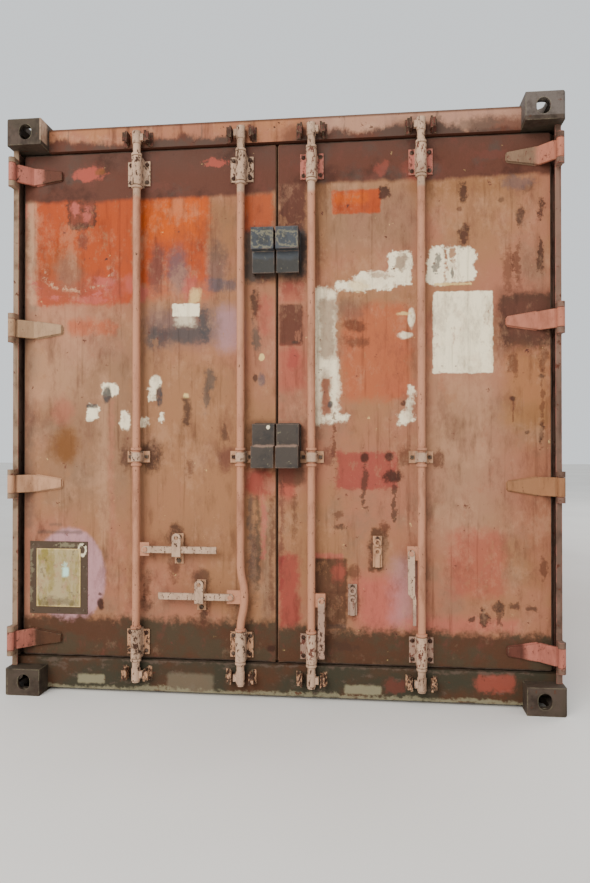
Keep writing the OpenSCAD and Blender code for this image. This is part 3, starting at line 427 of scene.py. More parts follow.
# Marks on the doors, one a line: kind, middle in X and Z, width, height, softness, colour and
# strength. Kinds are block, spot, their outlines rim and ring, and bowl, the lower half of a
# ring. A fine one has a clean edge, and the others' edges are ragged. The softness of a spot,
# ring or bowl is a share of its size. Later marks lie over earlier ones.
LEFT_MARKS = [
    # Worn paint along the hinge edge, and the cleaner field beside it
    ("block", -1.16, 1.30, 0.06, 2.0, 0.05, GREY_BROWN, 0.55),
    ("block", -1.13, 1.95, 0.05, 0.42, 0.04, DUST, 0.75),
    ("block", -0.84, 1.22, 0.52, 0.80, 0.30, GREY_TAN, 0.45),
    ("block", -1.04, 1.62, 0.26, 0.60, 0.16, HARDWARE_PALE, 0.4),
    ("block", -0.80, 1.05, 0.05, 0.80, 0.04, HARDWARE_PALE, 0.35),
    ("block", -0.38, 1.05, 0.44, 0.90, 0.20, TAN, 0.7),
    # Orange fields between the hinge edge, the two rods and the door's middle
    ("block", -0.90, 2.02, 0.47, 0.50, 0.03, ORANGE, 0.92),
    ("block", -0.475, 2.06, 0.32, 0.42, 0.04, ORANGE, 0.92),
    ("block", -0.47, 2.15, 0.29, 0.20, 0.10, BRIGHT_ORANGE, 0.9),
    ("block", -0.45, 1.83, 0.34, 0.10, 0.08, FADED_ORANGE, 0.6),
    ("block", -0.09, 2.16, 0.14, 0.18, 0.04, ORANGE, 0.75),
    ("block", -0.86, 1.66, 0.24, 0.07, 0.04, FADED_ORANGE, 0.65),
    ("block", -0.255, 2.10, 0.13, 0.28, 0.06, OCHRE, 0.30),
    # Brown stain on the left field, grey haze and chalky arcs under it
    ("block", -0.917, 1.83, 0.45, 0.12, 0.10, SALMON, 0.55),
    ("block", -1.167, 2.211, 0.05, 0.08, 0.03, PINK, 0.7),
    ("block", -1.140, 2.02, 0.04, 0.48, 0.03, HARDWARE_PALE, 0.7),
    ("block", -0.908, 2.190, 0.12, 0.13, 0.03, RED_BROWN, 0.75),
    ("rim", -0.908, 2.200, 0.12, 0.15, 0.010, BROWN, 0.7),
    ("spot", -0.935, 2.215, 0.035, 0.06, 0.9, PINK, 0.8),
    ("spot", -0.885, 2.180, 0.030, 0.07, 0.9, PINK, 0.7),
    ("spot", -0.900, 2.130, 0.08, 0.04, 0.9, BROWN, 0.7),
    ("spot", -0.895, 2.065, 0.045, 0.10, 0.9, RED_BROWN, 0.7),
    ("spot", -1.00, 1.90, 0.22, 0.26, 0.9, OCHRE, 0.30),
    ("spot", -0.97, 1.92, 0.12, 0.16, 0.9, GREY_TAN, 0.55),
    ("bowl", -0.93, 1.93, 0.34, 0.20, 0.16, HARDWARE_PALE, 0.9),
    ("bowl", -0.95, 1.91, 0.42, 0.24, 0.14, PINK, 0.9),
    ("spot", -0.80, 1.875, 0.10, 0.04, 0.7, PINK, 0.7),
    ("spot", -0.86, 1.79, 0.14, 0.03, 0.8, PINK, 0.6),
    ("block", -0.68, 1.86, 0.04, 0.08, 0.03, PINK, 0.6),
    # Grey-blue smears under the second field and the band below them
    ("spot", -0.55, 1.93, 0.075, 0.22, 0.9, SLATE, 0.6),
    ("spot", -0.455, 1.91, 0.10, 0.20, 1.0, BLUE_GREY, 0.75),
    ("spot", -0.27, 1.92, 0.085, 0.24, 0.9, SLATE, 0.55),
    ("spot", -0.25, 1.84, 0.16, 0.06, 0.9, BLUE_GREY, 0.7),
    ("spot", -0.40, 1.83, 0.07, 0.12, 0.9, PINK, 0.7),
    ("spot", -0.37, 1.79, 0.05, 0.07, 0.9, CREAM, 0.7),
    ("spot", -0.62, 1.81, 0.05, 0.07, 0.9, PINK, 0.7),
    ("block", -0.40, 1.65, 0.42, 0.16, 0.10, BLUE_GREY, 0.6),
    ("spot", -0.55, 1.61, 0.10, 0.10, 1.0, SLATE, 0.7),
    ("spot", -0.42, 1.62, 0.20, 0.09, 1.0, SLATE, 0.7),
    ("spot", -0.33, 1.66, 0.05, 0.14, 1.0, SLATE, 0.75),
    ("block", -0.22, 1.64, 0.10, 0.20, 0.08, MAUVE, 0.55),
    # Bare label, and scraps of old labels below it
    ("fine block", -0.416, 1.732, 0.125, 0.058, 0.006, WHITE, 1.0),
    ("block", -0.416, 1.688, 0.09, 0.045, 0.03, WHITE, 0.55),
    ("block", -0.775, 1.375, 0.075, 0.060, 0.012, WHITE, 0.95),
    ("fine spot", -0.785, 1.350, 0.040, 0.075, 0.5, SLATE, 0.9),
    ("block", -0.858, 1.270, 0.062, 0.065, 0.010, WHITE, 1.0),
    ("fine block", -0.858, 1.300, 0.055, 0.018, 0.010, SLATE, 0.85),
    ("fine spot", -0.556, 1.405, 0.055, 0.065, 0.4, WHITE, 1.0),
    ("block", -0.570, 1.345, 0.035, 0.075, 0.012, WHITE, 0.95),
    ("fine spot", -0.538, 1.340, 0.030, 0.090, 0.5, SLATE, 0.9),
    ("block", -0.695, 1.235, 0.052, 0.075, 0.012, WHITE, 0.95),
    ("block", -0.605, 1.228, 0.050, 0.038, 0.015, WHITE, 0.95),
    ("block", -0.530, 1.245, 0.018, 0.042, 0.010, WHITE, 0.9),
    ("fine block", -0.414, 1.345, 0.026, 0.022, 0.010, CREAM, 0.9),
    # Dark scrapes
    ("block", -0.412, 1.270, 0.035, 0.13, 0.02, BROWN, 0.8),
    ("spot", -0.300, 1.420, 0.050, 0.10, 0.8, GREY_BROWN, 0.85),
    ("spot", -0.320, 1.330, 0.035, 0.12, 0.8, GREY_BROWN, 0.8),
    ("spot", -0.098, 1.760, 0.045, 0.12, 0.7, BROWN, 0.85),
    ("spot", -0.098, 1.600, 0.040, 0.12, 0.8, GREY_BROWN, 0.85),
    ("block", -0.055, 1.70, 0.05, 0.18, 0.04, SALMON, 0.55),
    ("fine spot", -0.070, 1.512, 0.030, 0.030, 0.4, CREAM, 0.9),
    ("fine spot", -0.070, 1.414, 0.036, 0.060, 0.5, BLUE_GREY, 0.75),
    ("fine spot", -0.098, 1.420, 0.020, 0.040, 0.6, BROWN, 0.8),
    ("spot", -1.00, 1.28, 0.10, 0.13, 1.2, SALMON, 0.4),
    # Ochre stain, rust round the middle bearings, scratches
    ("spot", -0.985, 1.115, 0.12, 0.16, 1.1, OCHRE, 0.85),
    ("spot", -0.575, 1.070, 0.10, 0.14, 0.8, DARK_RUST, 0.85),
    ("spot", -0.690, 1.065, 0.06, 0.10, 0.9, DARK_RUST, 0.7),
    ("spot", -0.235, 1.060, 0.08, 0.11, 0.9, RED_BROWN, 0.75),
    ("spot", -0.240, 1.180, 0.030, 0.070, 0.9, BROWN, 0.7),
    ("spot", -0.395, 1.020, 0.045, 0.080, 0.9, RUST, 0.7),
    ("block", -0.075, 0.955, 0.13, 0.13, 0.05, RED, 0.75),
    ("block", -0.040, 0.60, 0.06, 0.50, 0.05, GREY_TAN, 0.6),
    ("spot", -0.100, 0.62, 0.05, 0.30, 1.0, GREY_BROWN, 0.6),
    ("block", -0.118, 0.72, 0.022, 0.36, 0.02, GREY_BROWN, 0.7),
    ("block", -0.085, 0.68, 0.018, 0.42, 0.02, LOW_OLIVE, 0.6),
    ("block", -0.058, 0.75, 0.022, 0.30, 0.02, PINK, 0.6),
    ("block", -0.020, 0.64, 0.020, 0.50, 0.02, RUST, 0.6),
    ("block", -0.665, 0.75, 0.045, 0.55, 0.04, TAN, 0.5),
    ("block", -0.765, 0.95, 0.025, 0.75, 0.03, PINK_TAN, 0.7),
    # Rust round the retainers, with runs below them
    ("spot", -0.465, 0.715, 0.085, 0.11, 0.8, DARK_RUST, 0.8),
    ("spot", -0.470, 0.575, 0.050, 0.12, 1.0, RUST, 0.7),
    ("spot", -0.340, 0.525, 0.075, 0.09, 0.8, BROWN, 0.7),
    ("spot", -0.330, 0.360, 0.030, 0.10, 0.9, DARK_RUST, 0.8),
    ("spot", -0.585, 0.480, 0.035, 0.13, 0.9, RUST, 0.7),
    ("spot", -0.595, 0.400, 0.050, 0.05, 0.9, DARK_RUST, 0.6),
    ("spot", -0.165, 0.400, 0.10, 0.10, 1.0, RUST, 0.5),
    # Mauve field round the data plate
    ("block", -1.03, 0.54, 0.30, 0.42, 0.03, PINK_TAN, 0.6),
    ("fine spot", -0.96, 0.52, 0.34, 0.44, 0.12, MAUVE, 0.9),
    ("fine block", -1.01, 0.72, 0.22, 0.016, 0.012, GREY_BROWN, 0.6),
    ("fine block", -1.03, 0.755, 0.06, 0.014, 0.012, GREY_BROWN, 0.5),
    ("fine spot", -0.813, 0.395, 0.032, 0.050, 0.7, DARK_RUST, 0.95),
    ("fine spot", -0.815, 0.440, 0.018, 0.018, 0.7, BROWN, 0.8),
]

RIGHT_MARKS = [
    # Dark strip beside the doors' gap, reddish below, and the stained box under it
    ("block", 0.065, 2.19, 0.13, 0.42, 0.03, TOP_BROWN, 1.0),
    ("block", 0.065, 1.90, 0.13, 0.22, 0.06, RED_BROWN, 0.85),
    ("fine block", 0.065, 1.80, 0.12, 0.09, 0.03, SALMON, 0.5),
    ("fine block", 0.062, 1.655, 0.105, 0.185, 0.012, TOP_BROWN, 0.95),
    ("fine block", 0.080, 1.577, 0.030, 0.014, 0.008, RUBBER, 0.9),
    ("block", 0.065, 1.46, 0.12, 0.20, 0.06, SALMON, 0.6),
    ("spot", 0.070, 1.50, 0.05, 0.09, 0.9, RED, 0.5),
    ("block", 0.045, 0.96, 0.08, 0.16, 0.04, SALMON, 0.8),
    ("block", 0.020, 0.72, 0.018, 0.50, 0.02, RED_BROWN, 0.7),
    ("block", 0.085, 0.80, 0.020, 0.18, 0.02, RUST, 0.6),
    ("block", 0.400, 2.120, 0.46, 0.28, 0.14, GREY_TAN, 0.45),
    ("block", 0.055, 0.47, 0.09, 0.34, 0.04, RED, 0.75),
    # Yellowish edge under the dark band, orange block and its scorched corner
    ("block", 0.86, 2.25, 0.56, 0.07, 0.05, OCHRE, 0.35),
    ("block", 0.195, 2.10, 0.07, 0.40, 0.06, OCHRE, 0.35),
    ("fine block", 0.352, 2.195, 0.215, 0.105, 0.012, ORANGE, 0.92),
    ("fine block", 0.330, 2.21, 0.15, 0.05, 0.03, BRIGHT_ORANGE, 0.8),
    ("spot", 0.475, 2.235, 0.050, 0.060, 0.7, DARK_RUST, 0.9),
    # Greyer middle of the door's right half
    ("block", 0.82, 1.05, 0.34, 0.70, 0.30, GREY_TAN, 0.5),
    ("block", 0.80, 1.10, 0.30, 0.80, 0.20, HARDWARE_PALE, 0.3),
    # Torn strips of an old label, bare
    ("block", 0.380, 1.822, 0.24, 0.036, 0.012, WHITE, 1.0),
    ("block", 0.480, 1.850, 0.23, 0.060, 0.012, WHITE, 1.0),
    ("block", 0.545, 1.915, 0.11, 0.110, 0.012, WHITE, 1.0),
    ("spot", 0.400, 1.850, 0.12, 0.050, 0.4, WHITE, 1.0),
    ("block", 0.700, 1.900, 0.070, 0.170, 0.012, WHITE, 1.0),
    ("block", 0.802, 1.905, 0.120, 0.155, 0.012, WHITE, 1.0),
    ("spot", 0.545, 1.925, 0.060, 0.070, 0.5, GREY_TAN, 0.8),
    ("spot", 0.470, 1.862, 0.100, 0.025, 0.6, GREY_TAN, 0.6),
    ("spot", 0.705, 1.905, 0.028, 0.075, 0.5, SLATE, 0.75),
    ("spot", 0.765, 1.955, 0.030, 0.050, 0.6, TAN, 0.9),
    ("fine spot", 0.768, 1.870, 0.016, 0.050, 0.5, SLATE, 0.8),
    ("fine block", 0.770, 1.820, 0.16, 0.010, 0.006, CREAM, 0.85),
    ("spot", 0.365, 1.825, 0.070, 0.050, 0.7, CREAM, 0.5),
    # White panel, bare
    ("fine block", 0.812, 1.610, 0.255, 0.355, 0.006, WHITE, 1.0),
    # Ragged white outline of a lost label, brown rust in its middle
    ("block", 0.215, 1.620, 0.10, 0.40, 0.02, WHITE, 0.9),
    ("block", 0.225, 1.640, 0.07, 0.26, 0.03, GREY_TAN, 0.75),
    ("block", 0.185, 1.350, 0.04, 0.28, 0.02, WHITE, 0.85),
    ("block", 0.262, 1.380, 0.035, 0.26, 0.02, WHITE, 0.9),
    ("block", 0.255, 1.240, 0.13, 0.030, 0.02, WHITE, 0.9),
    ("block", 0.222, 1.360, 0.040, 0.20, 0.03, RED_BROWN, 0.5),
    ("fine spot", 0.238, 1.300, 0.024, 0.032, 0.6, SLATE, 0.85),
    ("block", 0.44, 1.53, 0.30, 0.42, 0.06, FADED_ORANGE, 0.6),
    ("block", 0.32, 1.72, 0.13, 0.09, 0.06, GREY_BROWN, 0.55),
    ("spot", 0.34, 1.650, 0.11, 0.05, 0.9, RUST, 0.75),
    ("spot", 0.35, 1.575, 0.12, 0.05, 0.9, BROWN, 0.6),
    ("fine spot", 0.592, 1.675, 0.030, 0.080, 0.6, WHITE, 0.9),
    ("fine spot", 0.565, 1.600, 0.060, 0.030, 0.6, WHITE, 0.9),
    ("fine spot", 0.560, 1.695, 0.050, 0.016, 0.7, CREAM, 0.8),
    ("block", 0.590, 1.300, 0.022, 0.16, 0.015, WHITE, 0.9),
    ("block", 0.568, 1.240, 0.075, 0.055, 0.015, WHITE, 0.95),
    ("fine spot", 0.556, 1.305, 0.022, 0.024, 0.6, DARK_RUST, 0.9),
    # Brown field behind the second hinge, and the ochre strip below it
    ("block", 1.090, 1.655, 0.29, 0.30, 0.060, RED_BROWN, 0.45),
    ("block", 1.090, 1.653, 0.24, 0.235, 0.030, BROWN, 0.85),
    ("block", 1.080, 1.665, 0.20, 0.15, 0.050, RED_BROWN, 0.4),
    ("block", 1.085, 1.36, 0.20, 0.34, 0.08, FADED_OCHRE, 0.55),
    ("block", 1.125, 0.90, 0.11, 0.80, 0.08, OCHRE, 0.25),
    ("spot", 1.020, 1.470, 0.040, 0.09, 0.9, RUST, 0.7),
    ("fine spot", 1.023, 1.320, 0.028, 0.024, 0.8, DARK_RUST, 0.9),
    ("fine spot", 1.023, 1.270, 0.008, 0.09, 0.9, RUST, 0.7),
    ("spot", 1.144, 1.480, 0.030, 0.12, 0.9, RUST, 0.7),
    ("fine spot", 1.144, 1.415, 0.026, 0.024, 0.8, DARK_RUST, 0.85),
    ("spot", 1.144, 1.300, 0.014, 0.20, 0.9, RUST, 0.6),
    ("fine spot", 1.081, 1.176, 0.020, 0.018, 0.8, BROWN, 0.8),
    # Red block with rusty bolts and their runs
    ("block", 0.400, 1.010, 0.27, 0.165, 0.020, RED, 0.7),
    ("fine spot", 0.388, 1.065, 0.036, 0.044, 0.6, DARK_RUST, 0.85),
    ("spot", 0.388, 0.960, 0.022, 0.19, 0.8, BROWN, 0.75),
    ("fine spot", 0.495, 1.070, 0.040, 0.040, 0.6, DARK_RUST, 0.85),
    ("spot", 0.515, 0.985, 0.080, 0.060, 0.7, DARK_RUST, 0.9),
    ("spot", 0.515, 0.900, 0.022, 0.19, 0.8, BROWN, 0.75),
    ("spot", 0.255, 1.170, 0.012, 0.16, 0.8, RUST, 0.7),
    # Salmon field low on the right, pinkish field beside the retainer
    ("block", 0.870, 0.610, 0.23, 0.30, 0.07, SALMON, 0.6),
    ("block", 0.455, 0.430, 0.22, 0.24, 0.10, PINK, 0.75),
    ("block", 0.560, 0.48, 0.10, 0.30, 0.10, MAUVE, 0.5),
    ("block", 0.80, 0.34, 0.50, 0.06, 0.05, PINK, 0.5),
    # Brown boxes behind the right inner handle
    ("fine block", 0.235, 0.545, 0.155, 0.155, 0.012, LOW_BROWN, 0.9),
    ("fine block", 0.262, 0.400, 0.095, 0.150, 0.015, LOW_BROWN, 0.9),
    ("spot", 0.280, 0.560, 0.055, 0.10, 0.9, SALMON, 0.6),
    ("fine block", 0.262, 0.322, 0.090, 0.022, 0.008, RUBBER, 0.85),
    ("fine block", 0.225, 0.632, 0.14, 0.022, 0.015, PINK, 0.6),
    # Rust round the retainers
    ("block", 0.445, 0.662, 0.070, 0.185, 0.025, LOW_BROWN, 0.9),
    ("spot", 0.470, 0.755, 0.045, 0.050, 0.8, RUST, 0.8),
    ("spot", 0.340, 0.555, 0.060, 0.060, 0.8, RUST, 0.7),
    ("spot", 0.335, 0.420, 0.060, 0.13, 0.9, RUST, 0.6),
    # Rust round the middle bearings
    ("spot", 0.222, 1.065, 0.060, 0.080, 0.7, RED_BROWN, 0.75),
    ("spot", 0.560, 1.068, 0.050, 0.080, 0.7, RUST, 0.7),
    ("spot", 0.712, 1.065, 0.050, 0.085, 0.7, RUST, 0.75),
    # Single rust spots and runs
    ("spot", 0.806, 2.215, 0.030, 0.100, 0.9, DARK_RUST, 0.85),
    ("fine spot", 0.800, 2.145, 0.022, 0.022, 0.8, RUST, 0.8),
    ("spot", 0.815, 2.030, 0.040, 0.080, 0.8, DARK_RUST, 0.85),
    ("spot", 1.055, 2.105, 0.035, 0.075, 0.9, BROWN, 0.85),
    ("spot", 1.085, 2.225, 0.055, 0.050, 1.0, BROWN, 0.5),
    ("spot", 1.145, 2.140, 0.024, 0.060, 0.9, DARK_RUST, 0.85),
    ("spot", 1.135, 1.930, 0.022, 0.100, 0.9, DARK_RUST, 0.8),
    ("spot", 1.045, 1.905, 0.026, 0.120, 0.9, RUST, 0.7),
    ("spot", 1.012, 1.870, 0.040, 0.16, 0.9, RUST, 0.6),
    ("fine spot", 0.975, 2.180, 0.024, 0.022, 0.9, BROWN, 0.6),
    ("spot", 1.140, 1.170, 0.020, 0.060, 0.9, DARK_RUST, 0.75),
    ("spot", 0.275, 0.765, 0.040, 0.030, 0.8, BROWN, 0.75),
    ("spot", 0.272, 0.820, 0.036, 0.024, 0.8, RUST, 0.6),
    ("spot", 1.150, 0.600, 0.026, 0.090, 0.9, RUST, 0.7),
    ("block", 0.965, 0.430, 0.050, 0.030, 0.015, BROWN, 0.8),
    ("block", 1.030, 0.430, 0.040, 0.030, 0.015, BROWN, 0.75),
    ("block", 1.095, 0.425, 0.050, 0.022, 0.015, BROWN, 0.75),
    ("spot", 0.965, 0.385, 0.014, 0.080, 0.8, BROWN, 0.65),
    ("spot", 0.905, 0.375, 0.045, 0.080, 0.6, DARK_RUST, 0.95),
    ("spot", 0.850, 0.365, 0.035, 0.020, 0.7, BROWN, 0.8),
]


def weathered(name, base, second, rust, stain, runs, worn, specks, rough, left=None):
    """Old paint: two tones in clouds, dark runs down the piece, rust specks and worn edges.

    Left is another tone for the front of what stands left of the doors."""
    coat = Coat(name)
    clouds = coat.cloud((0.40, 0.62), 2.6, 5, 0.6)
    colour = coat.blend(clouds, base, second)
    if left is not None:
        front = coat.step(coat.y, REAR_Y + 0.085, REAR_Y + 0.065)
        colour = coat.blend(coat.times(coat.step(coat.x, -1.0, -1.1, 0.85), front), colour, left)
    soot = coat.cloud((0.48, 0.72), 7, 5, 0.65, start=3)
    colour = coat.shade(colour, coat.times(soot, stain))
    run = coat.cloud((0.50, 0.74), 34, 4, 0.6, (1, 1, 0.06), 5)
    colour = coat.shade(colour, coat.times(run, runs))
    chips = coat.noise(30, 5, 0.7, start=9)
    colour = coat.blend(coat.step(chips, specks, specks + 0.05), colour, rust)
    if worn is not None:
        rubbed = coat.cloud((0.40, 0.56), 22, 4, 0.6, start=2)
        colour = coat.blend(coat.times(coat.edges(), rubbed), colour, worn)
    height = coat.plus(coat.noise(60, 5, 0.65), coat.times(chips, 0.8))
    roughness = coat.plus(coat.times(soot, 0.12), rough - 0.06)
    return coat.finish(colour, roughness, height, 0.0012, 0.0025 if worn is not None else 0.0)


def paint_marks(coat, colour, marks):
    """Lays a door's marks over its paint, one after another."""
    if not coat.mark_edges:
        coat.mark_edges = {
            "fine": (coat.torn(30, 0.005, 4, 1), coat.times(coat.fray, 0.02), 0.003),
            "rough": (coat.torn(8, 0.03, 6, 6), coat.times(coat.fray, 0.07), 0.012)}
    shapes = {"block": coat.block, "spot": coat.spot, "rim": coat.rim, "ring": coat.ring,
              "bowl": coat.bowl}
    for kind, x, z, width, height, soft, paint, strength in marks:
        where, ragged, reach = coat.mark_edges["fine" if kind.startswith("fine ") else "rough"]
        shape = shapes[kind.split()[-1]]
        amount = shape(where, (x, z), (width, height), soft, strength, ragged, reach)
        colour = coat.blend(amount, colour, paint)
    return colour


def door_coat(name, marks, band_marks, top_edge, low_edge, start):
    """A door's paint: faded tan with dark bands at both ends, marks, chips, runs and rust."""
    coat = Coat(name)
    colour = coat.blend(coat.cloud((0.40, 0.62), 1.9, 4, 0.6, start=start), TAN, PINK_TAN)
    haze = coat.cloud((0.50, 0.70), 4.5, 5, 0.65, start=start + 4)
    colour = coat.blend(coat.times(haze, 0.55), colour, GREY_TAN)
    field = colour
    colour = paint_marks(coat, colour, marks)
    light = coat.cloud((0.50, 0.64, 0.30), 7, 8, 0.78, (1, 1, 0.7), start + 17)
    colour = coat.blend(light, colour, HARDWARE_PALE)
    warm = coat.cloud((0.50, 0.66, 0.35), 10, 8, 0.78, (1, 1, 0.5), start + 19)
    colour = coat.blend(warm, colour, RED_BROWN)
    through = coat.cloud((0.57, 0.66, 0.55), 17, 7, 0.74, (1, 1, 0.6), start + 13)
    colour = coat.blend(through, colour, field)

    # Thin runs and smears down the door
    run = coat.cloud((0.56, 0.74), 46, 4, 0.6, (1, 1, 0.045), start + 5)
    colour = coat.shade(colour, coat.times(run, 0.38))
    smear = coat.cloud((0.52, 0.74), 13, 5, 0.65, (1, 1, 0.3), start + 8)
    colour = coat.shade(colour, coat.times(smear, 0.45))

    # Dark bands with ragged edges, and paint that shows through them
    ragged = coat.noise(9, 6, 0.7, (1, 1, 0.5), start + 2)
    level = coat.plus(coat.z, coat.times(coat.minus(ragged, 0.5), 0.06))
    top = coat.blend(coat.cloud((0.50, 0.66), 5, 6, 0.66, start=start + 1), TOP_BROWN, TOP_GREY)
    upper = coat.times(coat.step(level, top_edge + 0.08, top_edge + 0.20), 0.45)
    top = coat.blend(upper, top, TOP_GREY)
    warm = coat.cloud((0.50, 0.66), 11, 6, 0.7, (1, 1, 0.7), start + 3)
    top = coat.blend(coat.times(warm, 0.7), top, RED_BROWN)
    soot = coat.cloud((0.50, 0.66, 0.5), 4, 7, 0.7, start=start + 12)
    top = coat.shade(top, soot)
    colour = coat.blend(coat.step(level, top_edge - 0.010, top_edge + 0.016), colour, top)
    low = coat.blend(coat.cloud((0.42, 0.60), 6, 6, 0.66, start=start + 7), LOW_BROWN, LOW_OLIVE)
    show = coat.cloud((0.54, 0.68), 14, 6, 0.72, (1, 1, 0.6), start + 6)
    low = coat.blend(coat.times(show, 0.6), low, RED_BROWN)
    sandy = coat.cloud((0.56, 0.66, 0.35), 9, 8, 0.76, (1, 1, 0.8), start + 10)
    low = coat.blend(sandy, low, GREY_TAN)
    patchy = coat.times(coat.minus(coat.noise(15, 7, 0.75, start=start + 9), 0.5), 0.16)
    level = coat.plus(coat.z, patchy)
    colour = coat.blend(coat.step(level, low_edge + 0.030, low_edge - 0.022), colour, low)
    colour = paint_marks(coat, colour, band_marks)

    # The inner side has no bands and no marks: brown paint, greyed by its loads
    scuffs = coat.cloud((0.46, 0.62, 0.7), 6, 7, 0.74, (1, 1, 0.25), start + 18)
    inner = coat.blend(scuffs, GREY_BROWN, GREY_TAN)
    inner = coat.shade(inner, coat.times(smear, 0.6))
    colour = coat.blend(coat.step(coat.y, DOOR_MIDDLE - 0.002, DOOR_MIDDLE + 0.002), colour, inner)

    # Chips down to primer and to rust
    chips = coat.noise(24, 6, 0.72, start=start + 11)
    colour = coat.blend(coat.step(chips, 0.655, 0.69), colour, RED_BROWN)
    colour = coat.blend(coat.step(chips, 0.70, 0.73), colour, DARK_RUST)
    light = coat.cloud((0.68, 0.72), 20, 6, 0.72, start=start + 15)
    colour = coat.blend(coat.times(light, 0.6), colour, CREAM)

    height = coat.plus(coat.noise(70, 5, 0.6), coat.times(chips, 1.2))
    height = coat.plus(height, coat.times(coat.noise(3.5, 3), 2.5))
    roughness = coat.plus(coat.times(haze, 0.1), 0.70)
    return coat.finish(colour, roughness, height, 0.0015)


def by_height(coat, tones):
    """Colours stacked in Z: each tone holds up to its height, over a ragged step."""
    level = coat.plus(coat.z, coat.times(coat.noise(20, 4, 0.6, start=4), 0.05))
    colour = tones[0][1]
    for height, tone in tones[1:]:
        colour = coat.blend(coat.step(level, height - 0.01, height + 0.01), colour, tone)
    return colour


# Worn window outlines on the upper lock boxes, a bright chip on the lower ones, and wear marks
# on the data plate and on its frame
BOX_MARKS = [
    ("rim", -0.056, 2.018, 0.088, 0.060, 0.006, WORN_STEEL, 0.5),
    ("rim", 0.052, 2.018, 0.088, 0.060, 0.006, WORN_STEEL, 0.5),
    ("fine spot", -0.032, 1.198, 0.016, 0.016, 0.5, WHITE, 0.9),
    ("fine block", 0.0, 1.117, 0.19, 0.010, 0.010, ROD_GREY, 0.6),
]

PLATE_MARKS = [
    ("fine rim", *PLATE_MIDDLE, *PLATE_INNER, 0.008, CREAM, 0.6),
    ("block", -1.045, 0.55, 0.025, 0.22, 0.02, PLATE_OLIVE, 0.6),
    ("block", -1.02, 0.400, 0.19, 0.03, 0.02, PLATE_FRAME, 0.5),
    ("fine block", -0.978, 0.538, 0.030, 0.044, 0.016, STICKER, 0.95),
    ("spot", -0.972, 0.565, 0.030, 0.030, 0.9, STICKER, 0.5),
]

PLATE_FRAME_MARKS = [
    ("fine ring", -0.900, 0.640, 0.036, 0.050, 0.35, WHITE, 0.8),
    ("block", -0.97, 0.660, 0.14, 0.010, 0.010, WORN_STEEL, 0.6),
    ("block", -1.146, 0.52, 0.012, 0.24, 0.010, WORN_STEEL, 0.5),
]


def near_rods(coat, rods, reach):
    """1 closer than a reach to the axis of one of the rods, seen from the front."""
    aside = [coat.math("ABSOLUTE", coat.minus(coat.x, ROD_X[rod])) for rod in rods]
    return coat.step(coat.math("MINIMUM", *aside), reach + 0.002, reach - 0.002)


def worn_steel_paint(name, tones, chip, chip_from, edge=WORN_STEEL, edge_share=0.6, sleeves=(),
                     tips=(), soft_edges=0.002):
    """Thick chipped paint on forged pieces, in tones by height, rubbed bare along its edges.

    Sleeves names two rods whose bearings are worn pale. Tips lists (lowest, highest, inner edge,
    colour) for blades whose ends have another colour. Pieces near both ends of the doors chip more."""
    coat = Coat(name)
    colour = by_height(coat, tones)
    for low, high, inner, tone in tips:
        band = coat.times(coat.step(coat.z, low, low + 0.01), coat.step(coat.z, high, high - 0.01))
        away = coat.plus(coat.math("ABSOLUTE", coat.x), coat.times(coat.fray, 0.05))
        colour = coat.blend(coat.times(band, coat.step(away, inner + 0.02, inner - 0.02)), colour, tone)
    if sleeves:
        colour = coat.blend(near_rods(coat, sleeves, HOUSING_R + 0.002), colour, PALE_CHIPS_AND_HIGHLIGHT)
    clouds = coat.cloud((0.45, 0.70), 14, 6, 0.7, (1, 1, 0.3), start=2)
    colour = coat.shade(colour, coat.times(clouds, 0.45))
    aside = coat.math("ABSOLUTE", coat.minus(coat.z, HEIGHT / 2))
    ends = coat.step(aside, 0.94, 1.04, 0.05)
    chips = coat.plus(coat.noise(62, 7, 0.74, (1, 1, 0.6), start=7), ends)
    colour = coat.blend(coat.step(chips, chip_from, chip_from + 0.05), colour, chip)
    rubbed = coat.cloud((0.42, 0.55), 40, 4, 0.6, start=12)
    bare = coat.times(coat.times(coat.edges(0.004), rubbed), edge_share)
    colour = coat.blend(bare, colour, edge)
    height = coat.plus(coat.noise(90, 4, 0.6), coat.times(chips, 1.5))
    return coat.finish(colour, 0.72, height, 0.0012, soft_edges)


def casting_coat():
    """Corner castings: thick grey-brown paint, chipped to rust.

    The upper left one's inner side face has a painted highlight, and the upper right one is paler."""
    coat = Coat("casting_steel")
    colour = coat.blend(coat.cloud((0.42, 0.60), 5, 6, 0.7), CASTING_GREY, CASTING_OLIVE)
    high = coat.step(coat.z, PALER_FROM, PALER_FROM + 0.004)
    # Painted highlight: the upper left casting's inner side face, where light falls on it, is painted pale.
    face = coat.times(coat.step(coat.x, CASTING_INNER - 0.008, CASTING_INNER - 0.002),
                     coat.step(coat.x, 0.0, -0.1))
    front = coat.step(coat.y, REAR_Y + 0.075, REAR_Y + 0.045)
    face = coat.times(face, coat.times(high, front))
    colour = coat.blend(coat.times(face, 0.85), colour, PALE_CHIPS_AND_HIGHLIGHT)
    high_right = coat.times(coat.step(coat.x, 0.0, 0.1), coat.step(coat.y, 0.0, -0.1))
    high_right = coat.times(high, high_right)
    colour = coat.blend(coat.times(high_right, 0.6), colour, CASTING_PALE)
    soot = coat.cloud((0.48, 0.70, 0.7), 9, 6, 0.7, start=3)
    colour = coat.shade(colour, soot)
    chips = coat.noise(34, 7, 0.72, start=9)
    colour = coat.blend(coat.step(chips, 0.61, 0.66), colour, RUST)
    rubbed = coat.cloud((0.40, 0.56, 0.7), 22, 4, 0.6, start=2)
    colour = coat.blend(coat.times(coat.edges(0.006), rubbed), colour, WORN_STEEL)
    height = coat.plus(coat.noise(50, 6, 0.7), coat.times(chips, 1.2))
    return coat.finish(colour, 0.72, height, 0.0018, 0.003)


